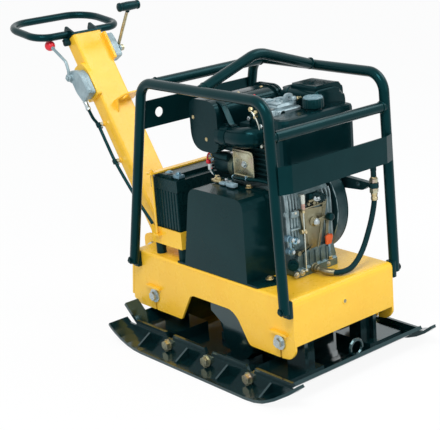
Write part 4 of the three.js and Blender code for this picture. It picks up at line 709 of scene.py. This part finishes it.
def make_left_lever():
    u, w = LEFT_PIVOT
    top_u, top_w = LEFT_TOP
    hub = [(0, 11.2), (1, 12), (10, 12), (11, 11)]
    foot, head = on_handle(u, LEFT_Y, w), on_handle(top_u, LEFT_Y, top_w)
    along = (head - foot).normalized()
    arm = piece("left_lever_rod", ZINC_YELLOW, turned(on_handle(u, 104.3, w), Y, hub, 28),
        swept(bent([foot, on_handle(u - 15, LEFT_Y, w + 15), head], 12, 6), 6.2, 16),
        turned(foot, HANDLE_W - HANDLE_U, [(0, 8.5), (14, 8), (17, 6)], 14),
        hexagon(on_handle(u, 115.3, w), Y, 7.5, 5), body="travel_lever")
    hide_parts("left_lever")
    half = [(46, 12), (43, 16.5), (38, 17), (34, 14.5), (28, 15.8)]
    grip = [(-along_y, radius) for along_y, radius in half] + [(0, 17)] + half[::-1]
    piece("left_lever_grip", PLASTIC, turned(head, Y, grip, 28),
        turned(head - along * 24, along, [(0, 7), (12, 8.5)], 14), body="travel_lever")


make_right_lever()
make_left_lever()


# Fuel cap with its scalloped skirt
def make_fuel_cap():
    low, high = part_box("fuel_cap")
    centre = Vector(((low.x + high.x) / 2, (low.y + high.y) / 2, low.z)) / MM
    skirt = [(0, 32.5), (1.5, 34), (25, 34), (28.5, 33), (30, 31)]
    cap = piece("fuel_cap_skirt", PLASTIC, turned(centre, Z, skirt, 120, 20, 1.4), body="fuel_filler")
    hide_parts("fuel_cap")
    crown = [(29.5, 31.5), (33, 31), (35, 28.5), (35.2, 20), (35, 0)]
    # The crown's pale blue-grey is a painted highlight on the black cap's top.
    piece("fuel_cap_crown", CAP_PAINTED_HIGHLIGHT, turned(centre, Z, crown, 48),
        block(centre + Z * 35, (46, 9.5, 5.2), 2), body="fuel_filler")


make_fuel_cap()


def ribbon(points, thickness):
    """The outline of a strip of sheet bent along a line of (u, v) points."""
    line = [Vector(p) for p in points]
    near, far = [], []
    for i, point in enumerate(line):
        ahead = (line[min(i + 1, len(line) - 1)] - line[max(i - 1, 0)]).normalized()
        out = Vector((-ahead.y, ahead.x)) * thickness / 2
        near.append(tuple(point + out))
        far.append(tuple(point - out))
    return near + far[::-1]


def dome(at, axis, radius, height=None):
    """A domed screw head on a thin washer."""
    tall = height or radius * 0.7
    profile = [(0, radius * 1.25), (tall * 0.2, radius * 1.25), (tall * 0.22, radius),
        (tall * 0.5, radius * 0.94), (tall * 0.85, radius * 0.6), (tall, 0)]
    return turned(at, axis, profile, 16)


# Air cleaner: a drum with a deep lid, its elbow to the inlet port and the strap that holds it
AIR_REAR, AIR_FRONT, AIR_LOW, AIR_HIGH, AIR_END = -160, -22, 680, 852, 140
ELBOW_SIDE, ELBOW_HIGH, ELBOW_RADIUS = -108, 739, 34.5
# Each layer's growth past the drum's outline, its left end, length, bevel and the bevel's steps
AIR_LAYERS = [(0, -108, 32, 8, 4), (-4, 136, 247, 1, 2), (-1, -101.5, 4, 1.2, 2), (4, 151.5, 9, 3, 3),
    (2, 140.5, 9, 3, 3)]


def drum_outline(grow):
    return rounded([(AIR_REAR - grow, AIR_LOW - grow, 74), (AIR_FRONT + grow, AIR_LOW - grow, 44),
        (AIR_FRONT + grow, AIR_HIGH + grow, 52), (AIR_REAR - grow, AIR_HIGH + grow, 40)], 12)


def make_air_cleaner():
    shapes = [slab(drum_outline(grow), (0, end, 0), X, Z, *rest) for grow, end, *rest in AIR_LAYERS]
    body = piece("air_cleaner_drum", SHEET_BLACK, *shapes, block((-31.7, 40, 696), (56.7, 40, 12), 2))
    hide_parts("air_cleaner")
    z = ELBOW_HIGH
    way = curved([(-34, ELBOW_SIDE, z), (0, ELBOW_SIDE, z), (46, ELBOW_SIDE, z + 1),
        (78, ELBOW_SIDE + 6, z + 3), (94, ELBOW_SIDE + 22, z + 3), (98, -68, z + 3)], 6)
    sizes = []
    for point in way:
        ridge = 5.5 if point.x < -8 else 3.5 if point.x < 4 or point.y > -79 else 0
        sizes.append(ELBOW_RADIUS + ridge)
    piece("air_elbow", SHEET_BLACK, swept(way, sizes, 32), angle=50)
    piece("air_elbow_clip", SHEET_BLACK, ring((8.5, ELBOW_SIDE, z), X, ELBOW_RADIUS + 1.2, 1.6, 36),
        bolt((8.5, ELBOW_SIDE - 12, z + 34), (0, -0.3, 1), 4, 6))
    strap = ribbon([(-46, 847.5), (-30, 841.5), (-20, 832), (8, 783), (14, 776.5), (30, 774.5)], 3)
    piece("air_strap", SHEET_BLACK, slab(strap, (0, -96, 0), X, Z, 22, 0.6))
    screws = [dome((-142, -AIR_END, 790), -Y, 5.4), dome((-82, -AIR_END, 723), -Y, 5.4)]
    screws += [dome((x, y, 848), Z, 5.2) for x, y in ((-86, 12), (-90, 117), (-86, -82))]
    piece("air_screws", BRASS, *screws)
    piece("inlet_manifold", CAST_BLACK, block((-28, -28, 706), (60, 70, 56), 6, 3),
        block((-40, -70, 692), (70, 24, 30), 4))
    piece("inlet_strip", PALE_STEEL, swept([(-90, -83, 668), (-18, -83, 680)], 4.2, 4, flat=0.4))
    piece("air_indicator", RED,
        turned((-40, 38, 833), (0.45, 0, 0.9), [(0, 5.5), (6, 5.5), (9, 3.5), (10, 0)], 14))


# Plated bracket beside the cylinder, pressed with a raised border
def make_bracket():
    near = -96.5
    outline = rounded([(-6, 604, 4), (90, 604, 17), (90, 694, 17), (-6, 694, 4)])
    border = rounded([(-10, 610.5, 2), (82.5, 610.5, 15), (82.5, 687.5, 15), (-10, 687.5, 2)])
    line = [Vector((max(u, -4.5), near, v)) for u, v in border]
    plate = piece("engine_bracket_plate", ZINC_YELLOW, slab(outline, (0, -93, 0), X, Z, 3.5, 0.6),
        swept(line, 1.9, 8, closed=True),
        slab(ribbon([(-6, 603.5), (-6, 694.5)], 2), (0, -87, 0), X, Z, 9, 0.4))
    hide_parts("engine_bracket")
    piece("engine_bracket_bolt", ZINC, bolt((47, near, 649), -Y, 7.8),
        turned((47, -71.3, 649), -Y, [(0, 8), (22, 8)], 16), block((46, -80.5, 704), (30, 16, 6), 1),
        bolt((37, -80.5, 707), Z, 4.2), bolt((55, -80.5, 707), Z, 4.2))


# Decompression and stop linkage beside the rocker cover
def make_linkage():
    face = -69.5
    web = rounded([(56, 747, 0), (130, 747, 0), (128, 790, 6), (108, 834, 6), (74, 838, 6),
        (60, 800, 4)])
    piece("linkage_bracket", SHEET_BLACK, slab(web, (0, face, 0), X, Z, 3.5, 0.6),
        block((93, -62, 760), (60, 16, 8), 1))
    rod = curved([(80, -83, 826), (95, -83, 812), (108, -83, 792), (117, -83, 766), (124, -83, 718)], 5)
    piece("linkage_rod", PALE_STEEL, swept(rod, 2.3, 10),
        turned((124, -87, 717), Y, [(0, 6), (18, 6)], 12))
    pins = [turned((x, face - 3, z), -Y, [(0, 4), (10, 4)], 12) for x,
        z in ((79, 828), (65, 798), (92, 762))]
    piece("linkage_pins", ZINC, *pins, hexagon((65, -76.5, 798), -Y, 7.2, 6),
        hexagon((118, -73.5, 779), -Y, 7.5, 7), hexagon((92, -76.5, 762), -Y, 7.8, 7))
    piece("linkage_nuts", BRASS, hexagon((79, -78.5, 829), -Y, 8.5, 8),
        hexagon((97, -73.5, 821), -Y, 7, 8),
        turned((97, -73.5, 806), -Y, [(0, 4.8), (12, 4.8), (13, 0)], 12))


# Rocker cover: bosses, studs, ribs and the oil breather on the casting
def make_rocker_details():
    shapes = [turned((66, -37.5, 779), Z, [(0, 10.5), (52, 9.5), (56, 7.5)], 20),
        turned((131, -36.5, 779), Z, [(0, 11.5), (40, 10.5), (44, 8)], 20),
        block((60, 4, 838.5), (26, 40, 8), 3, 3), block((112, -8, 837.5), (44, 28, 7), 2.8, 3),
        turned((106, 10, 835), Z, [(0, 11), (4, 11), (6, 9), (10, 9), (11.5, 7)], 20),
        swept(curved([(46, 50, 832), (76, 52, 839.5), (106, 52, 839.5), (128, 50, 834)], 6), 5, 12),
        turned((137, 50, 833), Z, [(0, 8), (6, 7.5), (8, 9.8), (14, 10.2), (19, 7), (20.5, 0)], 20),
        ring((152.5, -14, 808), X, 12.5, 2.6, 28, 10)]
    piece("rocker_cover_bosses", ALUMINIUM, *shapes, angle=44)
    piece("rocker_cover_studs", ZINC,
        turned((98, -38.5, 790), Z, [(0, 6.2), (40, 6.2), (41, 4.5), (56, 4.5), (57, 0)], 16),
        hexagon((98, -38.5, 830), Z, 8.8, 8), hexagon((66, -37.5, 835), Z, 7.2, 6),
        hexagon((131, -36.5, 823), Z, 7.2, 6))
    piece("rocker_cover_port", CAST_BLACK,
        turned((151.5, -14, 808), X, [(0, 11.5), (2.5, 11.5), (1.2, 8)], 24))
    piece("rocker_cover_union", BRASS, hexagon((137, 60, 842.5), Y, 7.5, 11),
        turned((137, 71, 842.5), Y, [(0, 5), (10, 5)], 14))


# Speed control on the crankcase's front: pressed plate, dome, push rod and its clevis
CONTROL_FACE = 238
DOME_AT = (12, 467)


def make_speed_control():
    face = CONTROL_FACE
    outline = rounded([(-20, 373, 4), (32, 371, 4), (70, 504, 4), (-47, 519, 4)])
    shapes = [slab(outline, (232.3, 0, 0), Y, Z, 5.5, 0.8)]
    for low, high in (((-12, 377), (-33, 512)), ((24, 376), (56, 500))):
        shapes.append(swept([(face, *low), (face, *high)], 2.2, 8))
    fold = ribbon([(232, 519), (247, 520), (256, 524)], 3)
    ear = rounded([(48, 500, 0), (69, 500, 0), (74, 526, 3), (62, 526, 3)])
    plate = piece("speed_plate", BRONZE, *shapes, slab(fold, (0, 50, 0), X, Z, 100, 0.5),
        slab(ear, (234, 0, 0), Y, Z, 4, 0.6))
    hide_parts("speed_control_plate")
    boss = [(0, 17.2), (3, 17.2), (4, 15), (8, 10.5), (10.8, 8.5), (11.2, 0)]
    piece("speed_plate_dome", BRONZE, turned((face - 1, *DOME_AT), X, boss, 28))
    x, y = face + 12, -42
    piece("push_rod", PALE_STEEL, swept([(x, y, 316), (x, y, 526)], 2.4, 12),
        hexagon((x, y, 316.5), Z, 6.2, 8))
    piece("push_rod_clevis", PALE_STEEL,
        turned((x, y, 541), Z, [(0, 7.2), (4, 7.8), (24, 7.8), (30, 6.6)], 16),
        block((x - 8, y, 564), (20, 5, 9), 1))
    piece("push_rod_bush", COPPER,
        turned((x, y, 521), Z, [(0, 6.6), (3, 7.2), (18, 7.2), (20, 6.2)], 16))
    piece("push_rod_nuts", BRASS, hexagon((x, y, 511), Z, 7.6, 9),
        turned((x - 5, y - 11, 448), Y, [(0, 7.5), (19, 7.5)], 16),
        hexagon((x, y + 3, 446.5), X, 5.5, 6), block((x - 12.5, y - 2, 448), (16, 8, 10), 1))


def make_throttle_lever():
    near = CONTROL_FACE + 10.3
    y, z = DOME_AT
    outline = rounded([(y - 9, z - 9, 6), (y + 58, z + 2, 5), (y + 58, z + 14, 5), (y - 9, z + 9, 6)])
    arm = piece("throttle_arm", BRONZE, slab(outline, (near, 0, 0), Y, Z, 4, 0.8),
        body="engine_speed_lever")
    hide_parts("throttle_lever")
    piece("throttle_boss", ZINC,
        turned((near + 3, y, z), X, [(0, 12.5), (1.5, 12.5), (3.5, 10.5), (5.5, 6.5), (6.2, 0)], 24),
        body="engine_speed_lever")
    knob = [(0, 8.5), (2, 12.5), (12, 13.2), (19, 11.5), (20.8, 8), (21, 0)]
    piece("throttle_knob", PLASTIC, turned((near + 3, y + 50, z + 7), X, knob, 22),
        body="engine_speed_lever")


# Front of the crankcase: fluted casting, injection pump, unions, bolts and the stop lever
def make_crankcase_details():
    front = 232
    flutes = []
    for y, size in ((-94, 7.5), (-79, 5.5), (-66, 4.5), (-53, 3.5)):
        line = curved([(front - 12, y + 6, 573), (front - 3, y + 1, 545), (front - 1, y, 500),
            (front - 1, y + 1, 440), (front - 4, y + 4, 404)], 5)
        flutes.append(swept(line, size, 14))
    for y in (66, 82, 96):
        line = curved([(front - 10, y, 560), (front - 2, y, 530), (front - 2, y, 420),
            (front - 6, y, 392)], 5)
        flutes.append(swept(line, 3.5, 12))
    piece("crankcase_flutes", ALUMINIUM_MID, *flutes, block((238, -72, 512), (20, 32, 22), 4, 3),
        block((238, -70, 462), (12, 40, 8), 3, 3),
        turned((231, -98.5, 515), X, [(0, 11), (6, 10), (7, 0)], 20), angle=50)
    pump = [turned((226, -98, 436), X, [(0, 13), (16, 13), (18, 10), (26, 10), (27, 6)], 20),
        turned((226, -70, 424), X, [(0, 12), (14, 12), (20, 8)], 20),
        turned((226, -94, 394), X, [(0, 13), (16, 13), (18, 9), (22, 9)], 20),
        swept(curved([(240, -94, 430), (247, -80, 418), (243, -68, 430)], 6), 4.5, 12),
        swept(curved([(240, -98, 440), (246, -100, 412), (240, -92, 394)], 6), 4, 12)]
    piece("injection_pump", BLUE_STEEL, *pump)
    piece("pump_unions", ZINC, hexagon((252.5, -98, 436), X, 7.2, 6),
        hexagon((246, -70, 424), X, 7.2, 6), hexagon((247.5, -94, 394), X, 6.8, 6))
    piece("stop_bar", BRONZE, swept([(243, -64, 380), (246, -10, 397)], 5.5, 4, flat=0.45),
        turned((236, -64, 380.5), X, [(0, 8), (11, 8)], 16))
    piece("stop_bar_edge", CAST_BLACK, swept([(241, -66, 372), (243, -12, 389)], 4.2, 4, flat=0.6))
    piece("crankcase_bolts", ZINC_WARM, bolt((245.5, -81.5, 313.5), X, 7.2),
        bolt((245.5, -56, 314.5), X, 7.2), bolt((245.5, 60, 312.5), X, 5.6),
        bolt((244, -72, 516.5), X, 5))
    piece("outlet_collar", BRONZE,
        turned((244.5, -4, 318), X, [(0, 14.5), (3, 14.5), (4, 12.8), (16, 12.8), (17.5, 11.4)], 24),
        ring((249, -4, 318), X, 14.2, 1.8, 28))
    upper = [block((236, 18, 546), (18, 52, 30), 3), block((240, 40, 536), (14, 36, 20), 2),
        swept([(246, 6, 560), (246, 52, 532)], 2.6, 8), swept([(246, 22, 566), (246, 66, 540)], 2.6, 8),
        swept([(240, 66, 540), (240, 62, 522)], 3, 8)]
    piece("governor_housing", SHEET_BLACK, *upper)
    piece("governor_levers", BRONZE, block((249, -4, 541), (6, 26, 7), 1.5),
        turned((245.5, 4, 532), X, [(0, 6.5), (9, 6), (10, 0)], 14),
        hexagon((245.5, -17, 532), X, 5.8, 6), hexagon((245.5, 20, 527.5), X, 5, 6))
    piece("governor_screws", ZINC, hexagon((245.5, 11, 543.5), X, 7.5, 7), dome((247, 29, 540), X, 6),
        swept(curved([(250, 4, 543), (252, 18, 536), (249, 34, 535)], 6), 2.2, 8))
    blade = rounded([(60, 410, 2), (70, 410, 2), (78, 462, 3), (66, 462, 3)])
    piece("stop_lever", BRONZE, slab(blade, (238, 0, 0), Y, Z, 2.5, 0.5),
        block((235.5, 70, 452), (10, 10, 12), 1))
    tag = rounded([(56, 378, 2), (78, 376, 2), (86, 400, 1), (82, 409, 1), (78, 402, 0), (73, 410, 1),
        (56, 406, 2)])
    piece("safety_tag", ORANGE, slab(tag, (239.5, 0, 0), Y, Z, 6, 1))
    piece("stop_rod", BLUE_STEEL, swept([(241, 70, 380), (241, 72, 334)], 4.2, 10))
    piece("stop_rod_nut", BRASS, hexagon((241, 72, 326.5), Z, 8.8, 9), washer((241, 72, 324.5), Z, 11))


# Fan housing: the rolled rims between casting, cowl and recoil starter
CRANK = Vector((80, 0, 475))


def round_crank(y, radius, degrees):
    return CRANK + Y * y + spoke(X, Z, math.radians(degrees)) * radius


def make_fan_rims():
    flange = [round_crank(116.5, 162.5, -84 + 4.2 * k) for k in range(41)]
    piece("fan_flange", ALUMINIUM_MID, swept(flange, 4.2, 10))
    band = [(0, 150), (0, 165.5), (1, 166.8), (4, 166.8), (5, 166.2), (38, 166.2), (41.5, 165.5),
        (44.5, 163), (44.5, 150)]
    piece("fan_cowl", CAST_BLACK, turned(CRANK + Y * 114.5, Y, band, 96))
    piece("fan_rims", SHEET_BLACK, ring(CRANK + Y * 160, Y, 163.2, 3, 96, 10),
        ring(CRANK + Y * 183.5, Y, 138.5, 3, 96, 10))
    piece("fan_bolts", ZINC,
        *[bolt(round_crank(184, 128, turn), Y, 6.5) for turn in (-52, -20, 14, 47, 70)])


# Starter, its wiring, and the black hose over the guard
STARTER_Z = 626.3


def make_starter_details():
    z = STARTER_Z
    motor = [(0, 22), (4, 24.5), (12.5, 25.5), (13, 35.5), (18, 36.5), (24, 36.5), (25, 36.2),
        (98, 36.2), (99, 36.8), (106, 36.8), (110, 34)]
    solenoid = [(0, 12.5), (2, 14.5), (60, 14.5), (64, 12)]
    end = (-100, -88, z + 32)
    body = piece("starter_case", CAST_BLACK, turned((-124, -58, z), X, motor, 40),
        turned(end, X, solenoid, 28), block((-66, -74, z + 24), (50, 20, 12), 2))
    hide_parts("starter_motor")
    piece("starter_band", OLIVE,
        turned((-40, -58, z), X, [(0, 37.2), (1, 37.8), (21, 37.8), (22, 37.2)], 40))
    piece("solenoid_cap", PLASTIC, turned(end, -X, [(0, 12.5), (10, 12.5), (12, 10)], 20))
    studs = []
    for y, high in ((-95, 665), (-81, 652)):
        studs += [turned((-111.5, y, high), -X, [(0, 3.2), (12, 3.2)], 10),
            hexagon((-113.5, y, high), -X, 6.2, 5)]
    piece("solenoid_studs", BRASS, *studs)
    red = curved([(-117, -95, 665), (-124, -104, 660), (-122, -110, 645), (-112, -113, 630),
        (-98, -114, 616)], 6)
    piece("wire_red", RED, swept(red, 3, 10), block((-116, -112, 638), (14, 10, 14), 2))
    pale = curved([(-117, -81, 652), (-124, -92, 644), (-118, -106, 626), (-100, -116, 606),
        (-70, -118, 596)], 6)
    piece("wire_pale", PALE, swept(pale, 2.4, 10), block((-104, -116.5, 622.5), (12, 10, 20), 2),
        block((-122, -100, 654), (12, 10, 10), 2))
    black = curved([(-98, -114, 616), (-80, -118, 600), (-50, -117, 594), (-20, -118, 596),
        (10, -116, 594)], 6)
    loom = curved([(-112, -90, 656), (-120, -80, 640), (-126, -70, 610), (-150, -70, 600)], 6)
    piece("wire_black", PLASTIC, swept(black, 3, 10), swept(loom, 4.5, 12))
    piece("terminal_bolts", BRASS, bolt((-70, -116, 590.5), Z, 7.5, 9),
        bolt((-46, -128, 590.5), Z, 6.2, 8), block((-58, -122, 585.5), (46, 26, 9), 1.5))
    piece("terminal_bolt_2", ZINC, bolt((-20, -118, 586.5), Z, 7, 10), bolt((4, -124, 586.5), Z, 6, 8))
    piece("connector", BLUE_PALE, block((30, -140, 588.5), (36, 20, 12), 1.5),
        block((12, -137, 586.5), (18, 14, 9), 1.2), block((-18, -136, 585.5), (26, 16, 8), 1.2))
    breather = curved([(-10, -100, 600), (20, -108, 603), (62, -104, 604), (104, -90, 603),
        (140, -80, 598), (170, -78, 585)], 6)
    piece("breather_hose", PLASTIC, swept(breather, 6.2, 16))
    piece("breather_hose_clip", BLUE_STEEL, ring((62, -104, 604), (1, 0.2, 0), 7.1, 1.5),
        block((62, -106, 612), (8, 7, 6), 1), ring((-2, -102.5, 601.5), (1, -0.25, 0.1), 7.1, 1.5))


# Belt guard bolts, deck plug and battery fittings
BATTERY_LID = 594


def make_small_parts():
    piece("guard_bolts", BRASS, bolt((80, -112, 581.1), Z, 8.2, 9), bolt((205, -160, 315.5), Z, 9.2),
        bolt((-161, -179, 315.5), Z, 9.2))
    deck_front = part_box("deck_shell")[1].x / MM
    plug = [(0, 10.5), (4.5, 10.5), (6.4, 9), (6.8, 6.8), (5.2, 2), (5, 0)]
    piece("deck_plug", YELLOW, turned((deck_front - 4.6, -1, 233.5), X, plug, 24))
    # A bronze-grey disc fills the plug's hollow; its darker tone is painted shade for the recess.
    piece("deck_plug_recess_painted_shade", BRONZE, turned((deck_front + 1.2, -1, 233.5), X, [(0, 6.6), (1, 6.2)], 20))
    for side, y in (("right", -176), ("left", 16)):
        piece(f"battery_clamp_{side}", BLUE_STEEL,
            block((-200, y, BATTERY_LID - 5.5), (32, 28, 12), 3, 3),
            turned((-200, y, BATTERY_LID - 4), Z, [(0, 10.5), (6, 10), (12, 7.8), (13.5, 6)], 20),
            bolt((-216.5, y + 6, BATTERY_LID - 4), -X, 4.8, 6))
        piece(f"battery_cap_{side}", BLUE_STEEL, dome((-250, y, BATTERY_LID + 1), Z, 10.5, 6))


# Muffler: its can under a heat shield rolled over at the left
MUFFLER_REAR = 80


def make_muffler():
    shield = rounded([(94, 812, 3), (216, 812, 3), (216, 881, 56), (94, 881, 10)], 10)
    can = rounded([(84, 750, 20), (209, 750, 20), (209, 866, 52), (84, 866, 20)], 10)
    hood = piece("muffler_shield", SHEET_BLACK, slab(shield, (MUFFLER_REAR, 0, 0), Y, Z, 112, 6, 4),
        slab(can, (MUFFLER_REAR - 40, 0, 0), Y, Z, 168, 12, 4))
    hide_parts("muffler")
    seams = [swept([(x, *point) for point in can], 2.6, 8, closed=True)
        for x in (MUFFLER_REAR + 118, MUFFLER_REAR - 12)]
    piece("muffler_seams", CAST_BLACK, *seams)
    piece("muffler_outlet", CAST_BLACK,
        turned((MUFFLER_REAR - 36, 150, 806), -X, [(0, 16.5), (34, 16.5), (34, 14.5), (14, 14)], 28))


for make in (make_air_cleaner, make_bracket, make_linkage, make_rocker_details, make_speed_control,
        make_throttle_lever, make_crankcase_details, make_fan_rims, make_starter_details,
        make_small_parts, make_muffler):
    make()


# Floor and light
FLOOR_HALF, FLOOR_DROP, FLOOR_GREY = 30, 0.0005, 0.9
# How much of plain white each kind of ray sees in the floor
FLOOR_GLOW = {"Is Camera Ray": 0.92, "Is Glossy Ray": 0.45}
SKY, SKY_STRENGTH = (0.93, 0.97, 1, 1), 0.7
# Each lamp's name, place, target, size and watts
LAMPS = [
    ("key", (1.2, -1.8, 3.4), (0, 0, 0.4), (1.5, 1.5), 72),
    ("left_box", (1.08, 1.95, 2.93), (-0.5, 0, 0.7), (1.6, 1.6), 28),
    ("front_fill", (3.4, 0.8, 1.6), (0, 0, 0.4), (2.0, 1.6), 12),
]


def highest(tree, a, b):
    return add_node(tree, "Math", {0: a, 1: b}, operation="MAXIMUM").outputs[0]


def make_floor():
    """A pale floor with the object's shadow, which the camera sees nearly white."""
    mesh = bpy.data.meshes.new("floor")
    corners = [(-1, -1), (1, -1), (1, 1), (-1, 1)]
    mesh.from_pydata([(x * FLOOR_HALF, y * FLOOR_HALF, 0) for x, y in corners], [], [(0, 1, 2, 3)])
    floor = bpy.data.objects.new("floor", mesh)
    bpy.context.scene.collection.objects.link(floor)
    floor.location.z = -FLOOR_DROP
    material, tree, shader = new_material("floor")
    tree.nodes.remove(shader)
    path = add_node(tree, "LightPath")
    parts = [add_node(tree, "Math", {0: path.outputs[ray], 1: share}, operation="MULTIPLY").outputs[0]
        for ray, share in FLOOR_GLOW.items()]
    diffuse = add_node(tree, "BsdfDiffuse", {"Color": (FLOOR_GREY, FLOOR_GREY, FLOOR_GREY, 1)})
    glow = add_node(tree, "Emission", {"Color": WHITE})
    blend = add_node(tree, "MixShader", {"Fac": highest(tree, *parts), 1: diffuse.outputs[0],
        2: glow.outputs[0]})
    feed(tree, tree.nodes["Material Output"], {"Surface": blend.outputs[0]})
    mesh.materials.append(material)


def make_world():
    """A soft sky, white where the camera, glass or a glossy surface sees it."""
    world = bpy.data.worlds.new("studio")
    bpy.context.scene.world = world
    world.use_nodes = True
    tree = world.node_tree
    tree.nodes.clear()
    sky = add_node(tree, "Background", {"Color": SKY, "Strength": SKY_STRENGTH})
    white = add_node(tree, "Background", {"Color": WHITE, "Strength": 1})
    path = add_node(tree, "LightPath").outputs
    seen = highest(tree, path["Is Camera Ray"], path["Is Transmission Ray"])
    blend = add_node(tree, "MixShader", {"Fac": highest(tree, seen, path["Is Glossy Ray"]),
        1: sky.outputs[0], 2: white.outputs[0]})
    add_node(tree, "OutputWorld", {"Surface": blend.outputs[0]})


def make_lamp(name, at, towards, size, power):
    data = bpy.data.lights.new(name, "AREA")
    data.shape = "RECTANGLE"
    data.size, data.size_y = size
    data.energy = power
    lamp = bpy.data.objects.new(name, data)
    bpy.context.scene.collection.objects.link(lamp)
    lamp.location = at
    lamp.rotation_mode = "QUATERNION"
    lamp.rotation_quaternion = (Vector(towards) - Vector(at)).to_track_quat("-Z", "Y")


make_floor()
make_world()
for lamp in LAMPS:
    make_lamp(*lamp)
bpy.context.scene.view_settings.view_transform = "Standard"
